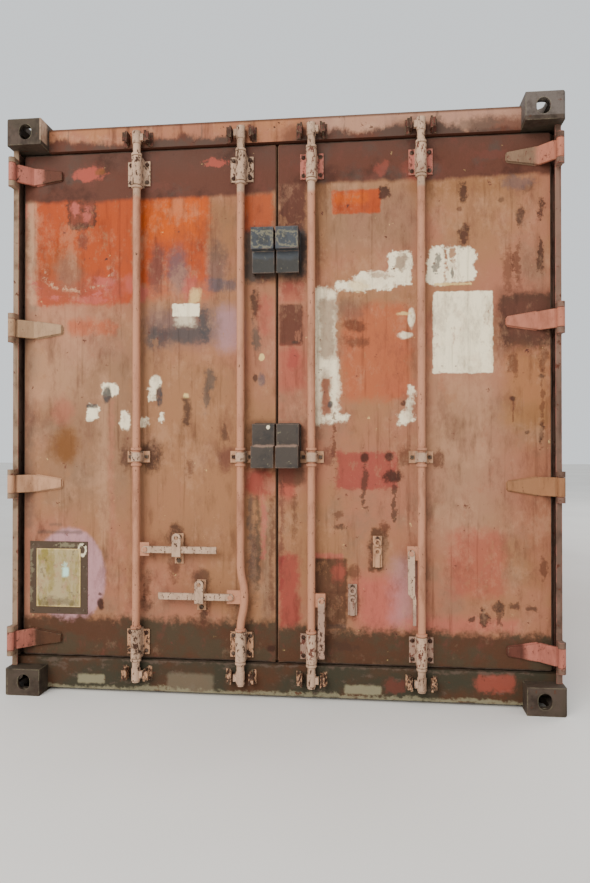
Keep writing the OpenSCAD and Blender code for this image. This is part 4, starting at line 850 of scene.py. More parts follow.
def box_coat():
    """Lock boxes: blue-grey over brown, darker grey on the upper boxes' lower tier as painted shade under
    the upper tier, rubbed pale along the rims and in two window outlines.
    """
    coat = Coat("box_paint")
    # Below the ledge the upper boxes' lower tier is darker grey: painted shade under the upper tier.
    colour = by_height(coat, [(0, BOX_BROWN), (1.5, BOX_GREY), (BOX_LEDGE - 0.01, BOX_BLUE)])
    green = coat.cloud((0.48, 0.64, 0.6), 9, 6, 0.7, start=5)
    colour = coat.blend(green, colour, BOX_DARK)
    colour = paint_marks(coat, colour, BOX_MARKS)
    wear = coat.noise(55, 7, 0.74, start=7)
    colour = coat.blend(coat.step(wear, 0.60, 0.66, 0.6), colour, WORN_STEEL)
    rubbed = coat.cloud((0.36, 0.55, 0.55), 30, 5, 0.65, start=12)
    colour = coat.blend(coat.times(coat.edges(0.007), rubbed), colour, ROD_GREY)
    height = coat.plus(coat.noise(90, 4, 0.6), coat.times(wear, 1.5))
    return coat.finish(colour, 0.6, height, 0.0012, 0.003)


def plate_coat():
    """The data plate: a dark painted frame, and a dull brass plate with pale, olive and pink clouds."""
    coat = Coat("plate_brass")
    inner = coat.block(coat.place, PLATE_MIDDLE, PLATE_INNER, 0.002)
    clouds = coat.cloud((0.44, 0.60), 11, 6, 0.7, (1, 1, 0.4))
    brass = coat.blend(clouds, PLATE_PALE, PLATE_OLIVE)
    pink = coat.cloud((0.50, 0.62, 0.8), 15, 6, 0.7, start=6)
    brass = coat.blend(pink, brass, PLATE_PINK)
    brass = coat.blend(coat.cloud((0.56, 0.66, 0.5), 40, 5, 0.7, start=4), brass, PLATE_FRAME)
    brass = paint_marks(coat, brass, PLATE_MARKS)
    frame_paint = coat.blend(coat.cloud((0.56, 0.66), 24, 7, 0.75, start=8), PLATE_FRAME, GREY_BROWN)
    frame_paint = paint_marks(coat, frame_paint, PLATE_FRAME_MARKS)
    colour = coat.blend(inner, frame_paint, brass)
    scratches = coat.noise(60, 4, 0.6, (0.15, 1, 1), 3)
    height = coat.plus(scratches, coat.noise(90, 3))
    roughness = coat.step(inner, 0.0, 1.0)
    roughness = coat.minus(0.75, coat.times(roughness, 0.3))
    return coat.finish(colour, roughness, height, 0.0006)


def rubber_coat():
    """Dusty black rubber."""
    coat = Coat("seal_rubber")
    dust = coat.cloud((0.40, 0.62), 12, 5, 0.65)
    colour = coat.blend(coat.times(dust, 0.8), RUBBER, GREY_BROWN)
    middle = coat.step(coat.math("ABSOLUTE", coat.x), 0.05, 0.02)
    colour = coat.blend(coat.times(middle, 0.25), colour, TAN)
    return coat.finish(colour, 0.7, coat.noise(120, 3), 0.0004)


def floor_coat():
    """Plywood floor: long grain along the container, scuffs and dark wheel marks."""
    coat = Coat("floor_plywood")
    grain = coat.noise(40, 5, 0.6, (1, 0.05, 1))
    colour = coat.blend(coat.step(grain, 0.36, 0.64), PLY_PALE, PLY_DARK)
    scuffs = coat.cloud((0.48, 0.70), 5, 5, 0.7, (1, 0.4, 1), 3)
    colour = coat.shade(colour, coat.times(scuffs, 0.7))
    return coat.finish(colour, 0.65, grain, 0.0008)


def roof_coat():
    """Roof paint: faded and dusty on top, rusting in its hollows."""
    coat = Coat("roof_paint")
    colour = coat.blend(coat.cloud((0.38, 0.62), 1.6, 5, 0.6), WALL_TAN, WALL_RED)
    dust = coat.cloud((0.44, 0.66), 3.4, 5, 0.65, start=3)
    colour = coat.blend(coat.times(dust, 0.6), colour, DUST)
    hollow = coat.step(coat.z, ROOF_TOP - 0.003, ROOF_TOP - 0.012)
    wet = coat.times(hollow, coat.cloud((0.42, 0.62), 5, 5, 0.7, start=6))
    colour = coat.blend(coat.times(wet, 0.8), colour, RUST)
    chips = coat.noise(16, 6, 0.72, start=9)
    colour = coat.blend(coat.step(chips, 0.64, 0.69), colour, DARK_RUST)
    return coat.finish(colour, 0.8, coat.plus(chips, coat.noise(60, 4)), 0.0012)


def header_coat():
    """Header paint: pinkish tan, dark paint that creeps up from its lower edge, thin seams, and painted
    shade in a dark line along its top edge.
    """
    coat = Coat("header_paint")
    colour = coat.blend(coat.cloud((0.40, 0.62), 5, 5, 0.6), HEADER_TAN, PINK_TAN)
    run = coat.cloud((0.50, 0.74), 26, 4, 0.6, (1, 1, 0.15), 3)
    colour = coat.shade(colour, coat.times(run, 0.6))
    pale = coat.cloud((0.50, 0.62, 0.4), 8, 7, 0.75, start=7)
    colour = coat.blend(pale, colour, HARDWARE_PALE)
    colour = paint_marks(coat, colour, HEADER_MARKS)
    creep = coat.minus(0.5, coat.noise(3.2, 7, 0.72, (1, 1, 0.6), 11))
    level = coat.plus(coat.z, coat.times(creep, 0.26))
    dark = coat.step(level, HEADER_LOW + 0.038, HEADER_LOW + 0.006)
    tone = coat.blend(coat.cloud((0.42, 0.6), 8, 5, 0.6, start=6), TOP_GREY, TOP_BROWN)
    colour = coat.blend(dark, colour, tone)
    colour = coat.blend(coat.step(coat.z, HEADER_LOW + 0.001, HEADER_LOW), colour, TOP_BROWN)
    # A dark line along the top edge: painted shade.
    edge = coat.step(coat.z, HEADER_TOP - 0.014, HEADER_TOP - 0.004, 0.75)
    colour = coat.blend(edge, colour, BROWN)
    chips = coat.noise(26, 6, 0.72, start=9)
    colour = coat.blend(coat.step(chips, 0.64, 0.68), colour, DARK_RUST)
    height = coat.plus(coat.noise(70, 5, 0.65), chips)
    return coat.finish(colour, 0.76, height, 0.0012)


# Seams of the header, and soot round the rods' cams
HEADER_MARKS = [
    ("block", 0.640, 2.54, 1.00, 0.14, 0.06, HEADER_PALE, 0.5),
    ("fine block", -0.965, 2.52, 0.006, 0.10, 0.006, GREY_BROWN, 0.6),
    ("fine block", -0.340, 2.52, 0.006, 0.10, 0.006, GREY_BROWN, 0.5),
    ("fine block", 0.300, 2.52, 0.006, 0.10, 0.006, GREY_BROWN, 0.5),
    ("block", 0.700, 2.52, 0.020, 0.10, 0.010, GREY_BROWN, 0.6),
    ("spot", -0.600, 2.47, 0.16, 0.10, 0.9, TOP_BROWN, 0.7),
    ("spot", 0.100, 2.48, 0.16, 0.12, 0.9, TOP_BROWN, 0.7),
    ("spot", 0.580, 2.48, 0.22, 0.12, 0.9, TOP_BROWN, 0.7),
    ("block", 0.970, 2.475, 0.26, 0.10, 0.05, TOP_BROWN, 0.8),
    ("spot", 0.860, 2.50, 0.20, 0.06, 0.9, GREY_BROWN, 0.6),
]

# Marks that lie over the dark bands of the doors
LEFT_BAND_MARKS = [
    ("spot", -0.880, 2.370, 0.14, 0.06, 0.6, SALMON, 0.9),
    ("fine spot", -0.820, 2.375, 0.05, 0.03, 0.6, OCHRE, 0.7),
    ("spot", -0.275, 2.400, 0.09, 0.035, 0.6, SALMON, 0.8),
    ("spot", -1.080, 2.370, 0.10, 0.07, 0.8, RED_BROWN, 0.8),
    ("spot", -0.560, 2.300, 0.14, 0.03, 0.8, RED_BROWN, 0.7),
    ("block", -0.01, 1.975, 0.29, 0.235, 0.05, BOX_GREY, 0.85),
    ("block", 0.0, 1.112, 0.26, 0.225, 0.04, BROWN, 0.55),
    ("fine spot", -0.020, 0.215, 0.05, 0.03, 0.8, DARK_RUST, 0.8),
]

RIGHT_BAND_MARKS = [
    ("spot", 0.940, 2.380, 0.14, 0.04, 0.6, RED_BROWN, 0.8),
    ("spot", 0.620, 2.330, 0.12, 0.10, 0.9, SALMON, 0.35),
    ("spot", 0.470, 2.345, 0.05, 0.06, 0.9, SALMON, 0.35),
    ("spot", 1.045, 2.250, 0.12, 0.06, 1.0, BLUE_GREY, 0.45),
    ("block", 0.0, 1.975, 0.27, 0.215, 0.05, BOX_GREY, 0.85),
    ("block", 0.0, 1.075, 0.26, 0.27, 0.04, BROWN, 0.7),
    ("spot", 0.300, 0.235, 0.10, 0.04, 0.9, BROWN, 0.6),
]

SILL_MARKS = [
    ("fine block", -0.85, 0.058, 0.13, 0.040, 0.012, WORN_STEEL, 0.85),
    ("fine block", -0.39, 0.055, 0.21, 0.085, 0.020, DUST, 0.6),
    ("fine block", 0.38, 0.053, 0.16, 0.040, 0.012, WORN_STEEL, 0.85),
    ("block", 0.525, 0.070, 0.08, 0.060, 0.020, RED_BROWN, 0.9),
    ("block", 0.945, 0.100, 0.16, 0.080, 0.030, SALMON, 0.6),
    ("block", 0.0, 0.018, 2.2, 0.018, 0.015, WORN_STEEL, 0.75),
    # A pale strip along the top edge: a painted highlight.
    ("block", 0.0, 0.146, 2.2, 0.010, 0.010, GREY_BROWN, 0.7),
]


def sill_coat():
    """Sill paint: olive brown, with patches worn pale, a painted highlight along its top edge and a bright
    rubbed lower lip.
    """
    coat = Coat("sill_paint")
    colour = coat.blend(coat.cloud((0.40, 0.62), 4, 5, 0.6), SILL_OLIVE, LOW_BROWN)
    pale = coat.cloud((0.56, 0.66), 13, 6, 0.7, (1, 1, 1.6), 3)
    colour = coat.blend(coat.times(pale, 0.7), colour, GREY_BROWN)
    colour = paint_marks(coat, colour, SILL_MARKS)
    chips = coat.noise(24, 6, 0.72, start=9)
    colour = coat.blend(coat.step(chips, 0.63, 0.68), colour, RUST)
    height = coat.plus(coat.noise(70, 5, 0.65), chips)
    return coat.finish(colour, 0.8, height, 0.0014)


def wall_coat():
    """Side and front walls: sun-faded tan, red primer in clouds, and long rust runs."""
    coat = Coat("wall_paint")
    colour = coat.blend(coat.cloud((0.38, 0.62), 0.9, 5, 0.6), WALL_TAN, TAN)
    red = coat.cloud((0.50, 0.66), 2.4, 6, 0.68, start=3)
    colour = coat.blend(coat.times(red, 0.65), colour, WALL_RED)
    run = coat.cloud((0.50, 0.72), 22, 5, 0.65, (1, 1, 0.05), 5)
    colour = coat.shade(colour, coat.times(run, 0.6))
    low = coat.step(coat.plus(coat.z, coat.times(coat.noise(6, 5, 0.65), 0.4)), 0.62, 0.36)
    colour = coat.blend(coat.times(low, 0.75), colour, LOW_BROWN)
    chips = coat.noise(15, 6, 0.72, start=9)
    colour = coat.blend(coat.step(chips, 0.635, 0.665), colour, RED_BROWN)
    colour = coat.blend(coat.step(chips, 0.675, 0.70), colour, DARK_RUST)
    height = coat.plus(coat.noise(60, 5, 0.65), coat.times(chips, 1.3))
    return coat.finish(colour, 0.76, height, 0.0012)


def placed(name, data):
    """A new object in the scene for a mesh, a camera or a light."""
    new = bpy.data.objects.new(name, data)
    bpy.context.scene.collection.objects.link(new)
    return new


def camera():
    """The camera at the photograph's viewing angle."""
    view = bpy.data.cameras.new("camera")
    view.lens = CAMERA_LENS
    view.clip_end = 300
    holder = placed("camera", view)
    holder.location = CAMERA_PLACE
    holder.rotation_euler = (math.radians(90 + CAMERA_TILT), 0, math.radians(CAMERA_TURN))
    bpy.context.scene.camera = holder


def soft_light(name, place, target, power, colour):
    """A large square light that faces its target."""
    lamp = bpy.data.lights.new(name, "AREA")
    lamp.size = LIGHT_SIZE
    lamp.energy = power
    lamp.color = colour
    holder = placed(name, lamp)
    holder.location = place
    away = Vector(target) - Vector(place)
    holder.rotation_euler = away.to_track_quat("-Z", "Y").to_euler()


def studio():
    """A pale floor, a pale even sky and large soft lights."""
    corners = FLOOR_HALF * np.array([(-1, -1, 0), (1, -1, 0), (1, 1, 0), (-1, 1, 0)])
    mesh = bpy.data.meshes.new("floor")
    mesh.from_pydata(corners.tolist(), [], [(0, 1, 2, 3)])
    floor = placed("floor", mesh)
    coat = Coat("floor")
    clouds = coat.cloud((0.3, 0.7), 0.5, 3)
    colour = coat.blend(coat.times(clouds, 0.1), FLOOR_PALE, DUST)
    mesh.materials.append(coat.finish(colour, 0.9))

    world = bpy.data.worlds.new("sky")
    world.use_nodes = True
    back = world.node_tree.nodes["Background"]
    back.inputs["Color"].default_value = SKY_COLOUR
    back.inputs["Strength"].default_value = SKY_STRENGTH
    bpy.context.scene.world = world
    for light in LIGHTS:
        soft_light(*light)


def solids(node):
    """The boxes of a node's separate solids, as a list of (lowest corner, highest corner)."""
    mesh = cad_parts[node].data
    points = np.empty(len(mesh.vertices) * 3)
    mesh.vertices.foreach_get("co", points)
    mesh.calc_loop_triangles()
    corners = np.empty(len(mesh.loop_triangles) * 3, int)
    mesh.loop_triangles.foreach_get("vertices", corners)
    points, same = np.unique(np.round(points.reshape(-1, 3), 5), axis=0, return_inverse=True)
    corners = same.ravel()[corners].reshape(-1, 3)
    label = np.arange(len(points))
    while True:
        spread = label.copy()
        for corner in corners.T:
            np.minimum.at(spread, corner, label[corners].min(1))
        spread = spread[spread]
        if (spread == label).all():
            break
        label = spread
    return [(points[label == value].min(0), points[label == value].max(0)) for value in np.unique(label)]


def skin(rings):
    """Closed skins over rings of points: each copy's rings are joined in order, its ends are flat.

    The rings have the shape (copies, rings, points, 3) and run anticlockwise about their way."""
    copies, count, around = rings.shape[:3]
    ring = np.arange(count - 1)[:, None] * around
    point = np.arange(around)[None, :]
    after = (point + 1) % around
    sides = np.stack([ring + point, ring + after, ring + around + after, ring + around + point], -1)
    ends = np.stack([np.arange(around)[::-1], (count - 1) * around + np.arange(around)])
    shift = (np.arange(copies) * count * around)[:, None, None]
    faces = [(sides.reshape(-1, 4) + shift).reshape(-1, 4), (ends + shift).reshape(-1, around)]
    return rings.reshape(-1, 3), faces


def across(axis):
    """Two directions square to an axis, so that first x second is the axis."""
    first = np.array((0.0, 1.0, 0.0)) if abs(axis[0]) > 0.9 else np.array((1.0, 0.0, 0.0))
    second = np.cross(axis, first)
    return first, second


def turned(profile, places, axis, sides):
    """Turned pieces: each (height, radius) of a profile gives a ring round the axis at each place."""
    axis = np.array(axis, float)
    first, second = across(axis)
    turn = 2 * math.pi * (np.arange(sides) + 0.5) / sides
    circle = np.cos(turn)[:, None] * first + np.sin(turn)[:, None] * second
    height, radius = np.array(profile, float).T
    one = height[:, None, None] * axis + radius[:, None, None] * circle[None]
    return skin(np.array(places, float).reshape(-1, 1, 1, 3) + one[None])


def carried(outline, path, first, second):
    """A bar: an outline in two directions carried along a path of points.

    The outline runs anticlockwise from the first to the second direction, seen against the path."""
    outline = np.array(outline, float)
    flat = outline[:, :1] * np.array(first, float) + outline[:, 1:] * np.array(second, float)
    return skin((np.array(path, float)[:, None, :] + flat[None])[None])


def weld(start, end, out, radius):
    """A weld bead from start to end: rings whose radius swells and shrinks once a ripple."""
    start, end, out = (np.array(value, float) for value in (start, end, out))
    length = np.linalg.norm(end - start)
    count = max(int(length / RIPPLE * 3), 6)
    way = (end - start) / length
    side = np.cross(way, out)
    along = np.linspace(0, 1, count)
    swell = radius * (0.86 + 0.14 * np.cos(2 * math.pi * along * length / RIPPLE))
    swell *= np.sqrt(np.clip(np.minimum(along, 1 - along) * length / radius, 0.04, 1))
    turn = 2 * math.pi * np.arange(6) / 6
    circle = np.cos(turn)[:, None] * out + np.sin(turn)[:, None] * side
    middle = start + along[:, None] * (end - start)
    return skin((middle[:, None, :] + swell[:, None, None] * circle[None])[None])


def slab(low, high, chamfer=0.0015):
    """A plate between two corners, with its front and back edges chamfered."""
    low, high = np.array(low, float), np.array(high, float)
    middle, half = (low + high) / 2, (high - low) / 2
    corner = np.array([(-1, 0, -1), (1, 0, -1), (1, 0, 1), (-1, 0, 1)], float)
    full = corner * half
    small = corner * np.maximum(half - chamfer, 0)
    levels = [(half[1], small), (half[1] - chamfer, full), (chamfer - half[1], full), (-half[1], small)]
    rings = np.stack([middle + shape + np.array((0, level, 0)) for level, shape in levels])
    return skin(rings[None])


def joined(shapes):
    """Several shapes as one list of points and one list of faces."""
    points, faces, start = [], [], 0
    for some_points, some_faces in shapes:
        points.append(some_points)
        faces.extend(face for group in some_faces for face in (group + start).tolist())
        start += len(some_points)
    return np.concatenate(points), faces


def piece(name, shapes, body, material, smooth=False):
    """A new piece of the scene from shapes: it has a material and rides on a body."""
    points, faces = joined(shapes)
    mesh = bpy.data.meshes.new(name)
    mesh.from_pydata(points.tolist(), [], faces)
    mesh.polygons.foreach_set("use_smooth", np.full(len(mesh.polygons), smooth))
    mesh.materials.append(material)
    mesh.validate()
    new = placed(name, mesh)
    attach(new, body)


def softened(node, body, material, radius):
    """A copy of a frame's node whose sharp edges are rolled round, which stands for the node."""
    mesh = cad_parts[node].data.copy()
    work = bmesh.new()
    work.from_mesh(mesh)
    bmesh.ops.remove_doubles(work, verts=work.verts, dist=1e-5)
    bmesh.ops.dissolve_limit(work, angle_limit=math.radians(1), verts=work.verts, edges=work.edges)
    work.to_mesh(mesh)
    work.free()
    mesh.materials.clear()
    mesh.materials.append(material)
    new = placed(node + "_rounded", mesh)
    rounding = new.modifiers.new("rounding", "BEVEL")
    rounding.width = radius
    rounding.segments = 3
    rounding.limit_method = "ANGLE"
    rounding.angle_limit = math.radians(40)
    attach(new, body)
    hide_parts(node)


def dress(material, *nodes):
    """Gives the frame's nodes a material."""
    for node in nodes:
        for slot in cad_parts[node].material_slots:
            slot.material = material


DOME_HEAD = [(-0.001, 0.0095), (0.003, 0.0095), (0.0055, 0.0078), (0.0070, 0.0045), (0.0075, 0.001)]
HEX_HEAD = [(-0.001, 0.0110), (0.007, 0.0110), (0.009, 0.0095), (0.009, 0.001)]
FRONT = (0, -1, 0)
UP = (0, 0, 1)


def bracket_bolts(side, body, material):
    """Four dome heads on each tall bracket plate and two square heads on each middle one."""
    domes, squares = [], []
    for low, high in solids(side + "_rod_brackets"):
        x, z = (low[0] + high[0]) / 2, (low[2] + high[2]) / 2
        tall = high[2] - low[2] > 2 * MID_BRACKET_HALF + 0.01
        for way in (-1, 1):
            if tall:
                domes += [(x + way * BOLT_ASIDE, BRACKET_FACE, z + up * BOLT_RISE) for up in (-1, 1)]
            else:
                squares.append((x + way * BOLT_ASIDE, BRACKET_FACE, z))
    shapes = [turned(DOME_HEAD, domes, FRONT, 14), turned(HEX_HEAD, squares, FRONT, 4)]
    piece(side + "_bracket_bolts", shapes, body, material)


def bracket_welds(side, body, material):
    """Beads where the bearing housings meet their plates."""
    shapes = []
    for low, high in solids(side + "_rod_brackets"):
        x = (low[0] + high[0]) / 2
        plate = min((high[2] - low[2]) / 2, PLATE_HALF)
        z = (low[2] + high[2]) / 2
        for way in (-1, 1):
            foot = x + way * HOUSING_R
            start, end = (foot, BRACKET_FACE, z - plate), (foot, BRACKET_FACE, z + plate)
            shapes.append(weld(start, end, FRONT, MIDDLE_WELD))
    piece(side + "_bracket_welds", shapes, body, material, smooth=True)


def rod_collars(rod, side, material):
    """Rings on a rod close above and below each of its bearings, and round its cams."""
    x = ROD_X[rod]
    places = []
    for box_low, box_high in solids(side + "_rod_brackets"):
        if box_low[0] < x < box_high[0]:
            places += [(x, ROD_Y, box_high[2] + COLLAR_GAP), (x, ROD_Y, box_low[2] - COLLAR_GAP - COLLAR_H)]
    ring = [(0, ROD_R), (0, COLLAR_R - 0.002), (0.002, COLLAR_R), (COLLAR_H - 0.002, COLLAR_R),
            (COLLAR_H, COLLAR_R - 0.002), (COLLAR_H, ROD_R)]
    shapes = [turned(ring, places, UP, 28)]
    sleeve = [(-SLEEVE_HALF, ROD_R), (-SLEEVE_HALF, SLEEVE_R - 0.001), (0.002 - SLEEVE_HALF, SLEEVE_R),
              (SLEEVE_HALF - 0.002, SLEEVE_R), (SLEEVE_HALF, SLEEVE_R - 0.001), (SLEEVE_HALF, ROD_R)]
    shapes.append(turned(sleeve, [(x, ROD_Y, z) for z in CAM_LEVELS], UP, 28))
    piece(rod + "_collars", shapes, rod, material)


def keeper_feet(material):
    """Foot plates, outward lips and weld beads on the keepers' ears."""
    shapes = []
    for node in ("upper_keepers", "lower_keepers"):
        for low, high in solids(node):
            x, z = (low[0] + high[0]) / 2, (low[2] + high[2]) / 2
            rod = min(ROD_X.values(), key=lambda value: abs(value - x))
            way = 1.0 if x > rod else -1.0
            near, far = x + way * KEEPER_T / 2, x + way * (KEEPER_T / 2 + FOOT_W)
            shapes.append(slab((min(near, far), HEADER_FACE - FOOT_T, z - FOOT_HALF),
                               (max(near, far), HEADER_FACE + 0.001, z + FOOT_HALF)))
            far = x + way * (KEEPER_T / 2 + LIP_W)
            shapes.append(slab((min(near, far) - 0.001, low[1], z - LIP_HALF),
                               (max(near, far) + 0.001, low[1] + LIP_T, z + LIP_HALF), 0.002))
            shapes.append(weld((near, HEADER_FACE - FOOT_T, z - FOOT_HALF),
                               (near, HEADER_FACE - FOOT_T, z + FOOT_HALF), (way, 0, 0), MIDDLE_WELD))
    piece("keeper_feet", shapes, "container", material)


def blade_welds(side, body, material):
    """Beads along both edges and the tip of each hinge blade, on the door's face."""
    shapes = []
    level = DOOR_FACE - 0.001
    for low, high in solids(side + "_hinge_blades"):
        z = (low[2] + high[2]) / 2
        tip, root = (high[0], high[0] - BLADE_FLAT) if side == "left" else (low[0], low[0] + BLADE_FLAT)
        for up in (-1, 1):
            start, end = (root, level, z + up * BLADE_ROOT_HALF), (tip, level, z + up * BLADE_TIP_HALF)
            shapes.append(weld(start, end, (0, -0.7, 0.7 * up), THICK_WELD))
        start, end = (tip, level, z - BLADE_TIP_HALF), (tip, level, z + BLADE_TIP_HALF)
        shapes.append(weld(start, end, FRONT, THICK_WELD))
    piece(side + "_blade_welds", shapes, body, material, smooth=True)


def lug_welds(side, material):
    """Beads where the hinge lugs stand on the post's flange."""
    shapes = []
    way = -1 if side == "left" else 1
    for low, high in solids(side + "_hinge_lugs"):
        inner, outer = way * (HALF_WIDTH - LUG_WELD_INNER), way * (HALF_WIDTH - LUG_WELD_OUTER)
        for z in (low[2], low[2] + LUG_H, high[2] - LUG_H, high[2]):
            shapes.append(weld((inner, POST_FACE, z), (outer, POST_FACE, z), FRONT, LUG_WELD))
    piece(side + "_lug_welds", shapes, "container", material, smooth=True)


def lock_box_welds(side, body, material):
    """Beads along the top and outer side of each lock box, and along the step between its tiers."""
    shapes = []
    for low, high in solids(side + "_lock_boxes"):
        outer = low[0] if side == "left" else high[0]
        level, ledge = DOOR_FACE - 0.001, (low[2] + high[2]) / 2
        start, end = (low[0], level, high[2]), (high[0], level, high[2])
        shapes.append(weld(start, end, (0, -0.7, 0.7), THICK_WELD))
        shapes.append(weld((outer, level, low[2]), (outer, level, high[2]), FRONT, THICK_WELD))
        start, end = (low[0] + THIN_WELD, BOX_STEP, ledge), (high[0] - THIN_WELD, BOX_STEP, ledge)
        shapes.append(weld(start, end, FRONT, THIN_WELD))
    piece(side + "_lock_box_welds", shapes, body, material, smooth=True)


def gasket_lips(side, body, material):
    """Flat rubber lips that stand out of the door's four edges towards what surrounds it."""
    low, high = (np.array(corner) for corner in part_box(side + "_door_frame"))
    middle, hinge = (high[0], low[0]) if side == "left" else (low[0], high[0])
    inward, outward = np.sign(middle - hinge), np.sign(hinge - middle)
    front, back = DOOR_FACE + LIP_DEPTH, DOOR_FACE + LIP_DEPTH + LIP_THICK
    spans = [((middle - 0.002 * inward, middle + MIDDLE_LIP * inward), (low[2], high[2])),
             ((hinge - 0.002 * outward, hinge + EDGE_LIP * outward), (low[2], high[2])),
             ((low[0], high[0]), (high[2] - 0.002, high[2] + EDGE_LIP)),
             ((low[0], high[0]), (low[2] - EDGE_LIP, low[2] + 0.002))]
    shapes = [slab((min(xs), front, min(zs)), (max(xs), back, max(zs)), 0.002) for xs, zs in spans]
    piece(side + "_gasket_lips", shapes, body, material)


def retainer_bolts(side, body, material):
    """Hex heads at the ends of the retainers' base plates."""
    places = []
    for low, high in solids(side + "_retainers"):
        x = (low[0] + high[0]) / 2
        ends = zip((high[2], low[2]), (-1, 1), RETAINER_BOLTS[side])
        places += [(x, BRACKET_FACE, end + up * inset) for end, up, inset in ends]
    heads = turned(HEX_HEAD, places, FRONT, 6)
    piece(side + "_retainer_bolts", [heads], body, material)


def plate_rivets(material):
    """Dome rivets round the data plate's frame: each is a turned profile on the plate's border."""
    low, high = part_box("data_plate")
    inset = PLATE_BORDER / 2
    xs = np.linspace(low[0] + inset, high[0] - inset, 3)
    zs = np.linspace(low[2] + inset, high[2] - inset, 4)
    places = [(x, low[1] + PLATE_T, z) for x in xs for z in zs if x != xs[1] or z in (zs[0], zs[-1])]
    rivet = [(-0.001, 0.006), (0.001, 0.006), (0.003, 0.0045), (0.0038, 0.001)]
    piece("plate_rivets", [turned(rivet, places, FRONT, 12)], "left_door", material)


def vent_covers(material):
    """Moulded covers on the ventilators: a shallow pillow of rounded outlines, with louvres."""
    shapes = []
    for low, high in solids("side_vents"):
        way = 1.0 if low[0] > 0 else -1.0
        face = high[0] if way > 0 else low[0]
        middle = np.array((face, (low[1] + high[1]) / 2, (low[2] + high[2]) / 2))
        half = np.array((high[1] - low[1], high[2] - low[2])) / 2
        turn = 2 * math.pi * np.arange(48) / 48
        outline = np.stack([np.sign(np.cos(turn)) * np.abs(np.cos(turn)) ** 0.25 * half[0],
                            np.sign(np.sin(turn)) * np.abs(np.sin(turn)) ** 0.25 * half[1]], -1)
        levels = np.array([(-0.001, 0.99), (0.002, 0.99), (0.0038, 0.975), (0.0045, 0.95)])
        shrunk = outline[None] * levels[:, 1, None, None]
        rings = np.stack([np.broadcast_to(levels[:, :1] * way, shrunk.shape[:2]),
                          shrunk[..., 0] * way, shrunk[..., 1]], -1) + middle
        shapes.append(skin(rings[None]))
        hood = [(0, 0), (0.006, 0), (0.006, 0.002), (0, 0.008)]
        ends = (low[1] + LOUVRE_INSET, high[1] - LOUVRE_INSET)
        start, end = ends if way < 0 else ends[::-1]
        for z in np.linspace(-0.6, 0.5, LOUVRES) * half[1] + middle[2]:
            path = [(face + way * 0.002, start, z), (face + way * 0.002, end, z)]
            shapes.append(carried(hood, path, (way, 0, 0), UP))
    piece("vent_covers", shapes, "container", material)


def floor_screws(material):
    """Countersunk screw heads in rows over the cross members."""
    low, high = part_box("floor_boards")
    rows = np.arange(math.ceil(low[1] / SCREW_ROW) * SCREW_ROW, high[1], SCREW_ROW)
    across_floor = np.linspace(low[0] + SCREW_INSET, high[0] - SCREW_INSET, SCREW_COLUMNS)
    places = [(x, y, high[2]) for x in across_floor for y in rows]
    head = [(-0.002, 0.007), (0.0005, 0.007), (0.0005, 0.003), (-0.001, 0.001)]
    piece("floor_screws", [turned(head, places, UP, 10)], "container", material)


camera()
studio()

casting_steel = casting_coat()
post_paint = weathered(
    "post_paint", POST_BROWN, POST_DARK, RUST, 0.7, 0.5, HARDWARE_PINK, 0.60, 0.75, POST_TAN)
base_paint = weathered("base_paint", BASE_DARK, LOW_BROWN, RUST, 0.6, 0.3, None, 0.60, 0.85)
wall_paint = wall_coat()
keeper_paint = worn_steel_paint("keeper_paint", [(0, HARDWARE_PALE), (1.0, RED_BROWN)], BROWN, 0.50)
left_bracket_paint = worn_steel_paint(
    "left_bracket_paint", [(0, HARDWARE_PALE), (1.7, PALE_CHIPS_AND_HIGHLIGHT)], BROWN, 0.56,
    sleeves=("left_outer_rod", "left_inner_rod"))
right_bracket_paint = worn_steel_paint(
    "right_bracket_paint", [(0, ROD_GREY), (0.6, HARDWARE_PALE), (1.7, HARDWARE_PINK)], RED_BROWN, 0.57,
    sleeves=("right_inner_rod", "right_outer_rod"))
left_blade_paint = worn_steel_paint(
    "left_blade_paint", [(0, BLADE_ROSE), (0.6, HARDWARE_PALE), (1.3, BLADE_BEIGE), (2.0, BLADE_ROSE)],
    BROWN, 0.62, tips=[(2.0, 3.0, 1.09, TOP_BROWN), (0.0, 0.6, 1.13, LOW_BROWN)], soft_edges=0.006)
right_blade_paint = worn_steel_paint(
    "right_blade_paint", [(0, BLADE_ROSE), (0.6, TAN), (1.3, BLADE_PINK)], RED_BROWN, 0.63,
    tips=[(2.0, 3.0, 1.12, GREY_TAN), (0.0, 0.6, 1.07, RED_BROWN)], soft_edges=0.006)
rod_paint = worn_steel_paint(
    "rod_paint", [(0, PALE_CHIPS_AND_HIGHLIGHT), (0.30, ROD_PINK), (2.26, PALE_CHIPS_AND_HIGHLIGHT)], BROWN, 0.60, ROD_GREY, 0.5)
handle_paint = worn_steel_paint(
    "handle_paint", [(0, ROD_GREY), (0.45, PALE_CHIPS_AND_HIGHLIGHT), (0.80, HARDWARE_PALE)], BROWN, 0.55,
    GREY_BROWN, 0.8, soft_edges=0.003)
bolt_paint = worn_steel_paint("bolt_paint", [(0, GREY_BROWN)], DARK_RUST, 0.50, WORN_STEEL, 0.8)
box_paint = box_coat()
vent_plastic = weathered("vent_plastic", VENT_BLACK, RUBBER, DUST, 0.4, 0.2, None, 0.66, 0.6)
left_door_paint = door_coat(
    "left_door_paint", LEFT_MARKS, LEFT_BAND_MARKS, LEFT_TOP_BAND, LEFT_LOW_BAND, 0.0)
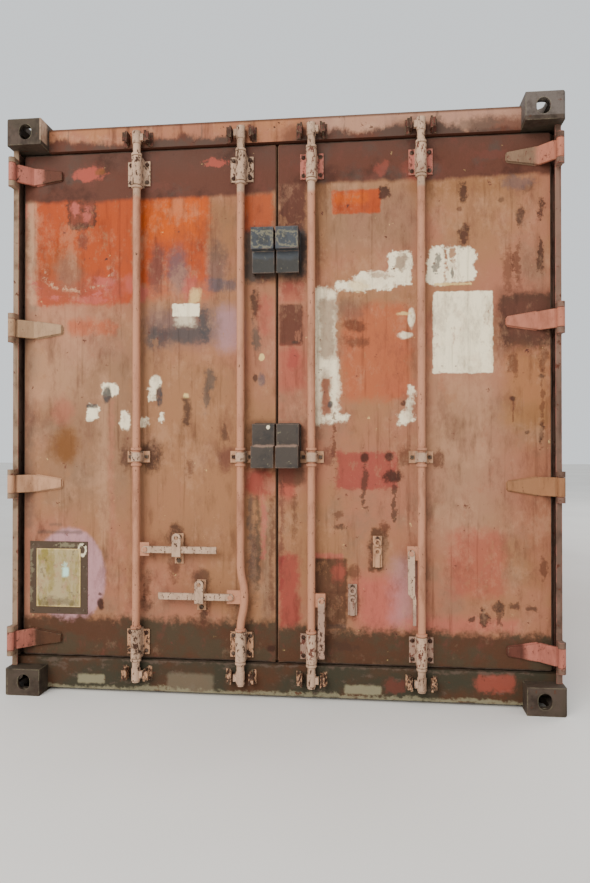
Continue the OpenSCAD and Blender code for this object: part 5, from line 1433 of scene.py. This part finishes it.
right_door_paint = door_coat(
    "right_door_paint", RIGHT_MARKS, RIGHT_BAND_MARKS, RIGHT_TOP_BAND, RIGHT_LOW_BAND, 40.0)

for castings in ("rear_top_castings", "rear_bottom_castings", "front_top_castings",
                 "front_bottom_castings"):
    softened(castings, "container", casting_steel, CASTING_ROUND)
dress(post_paint, "rear_posts", "left_hinge_lugs", "right_hinge_lugs")
dress(wall_paint, "front_posts", "front_header", "front_sill", "top_side_rails", "left_wall",
      "right_wall", "front_wall")
dress(base_paint, "bottom_side_rails", "cross_members", "fork_pockets")
dress(header_coat(), "rear_header")
dress(sill_coat(), "rear_sill")
dress(roof_coat(), "roof")
dress(floor_coat(), "floor_boards")
seal_rubber = rubber_coat()
dress(seal_rubber, "left_seal", "right_seal")
dress(left_door_paint, "left_door_frame", "left_door_sheet")
dress(right_door_paint, "right_door_frame", "right_door_sheet")
dress(keeper_paint, "upper_keepers", "lower_keepers")
dress(left_bracket_paint, "left_rod_brackets", "left_retainers")
dress(right_bracket_paint, "right_rod_brackets", "right_retainers")
dress(rod_paint, *ROD_X)
dress(handle_paint, "left_outer_handle", "left_inner_handle", "right_inner_handle",
      "right_outer_handle")
dress(plate_coat(), "data_plate")
dress(vent_plastic, "side_vents")

hinge_paints = {"left": left_blade_paint, "right": right_blade_paint}
bracket_paints = {"left": left_bracket_paint, "right": right_bracket_paint}
for side in ("left", "right"):
    door = side + "_door"
    bracket_bolts(side, door, bolt_paint)
    bracket_welds(side, door, bracket_paints[side])
    retainer_bolts(side, door, bolt_paint)
    blade_welds(side, door, hinge_paints[side])
    lock_box_welds(side, door, box_paint)
    gasket_lips(side, door, seal_rubber)
    softened(side + "_hinge_blades", door, hinge_paints[side], BLADE_ROUND)
    softened(side + "_lock_boxes", door, box_paint, BOX_ROUND)
    lug_welds(side, post_paint)
for rod in ROD_X:
    rod_collars(rod, "left" if ROD_X[rod] < 0 else "right", rod_paint)
keeper_feet(keeper_paint)
plate_rivets(bolt_paint)
vent_covers(vent_plastic)
floor_screws(bolt_paint)
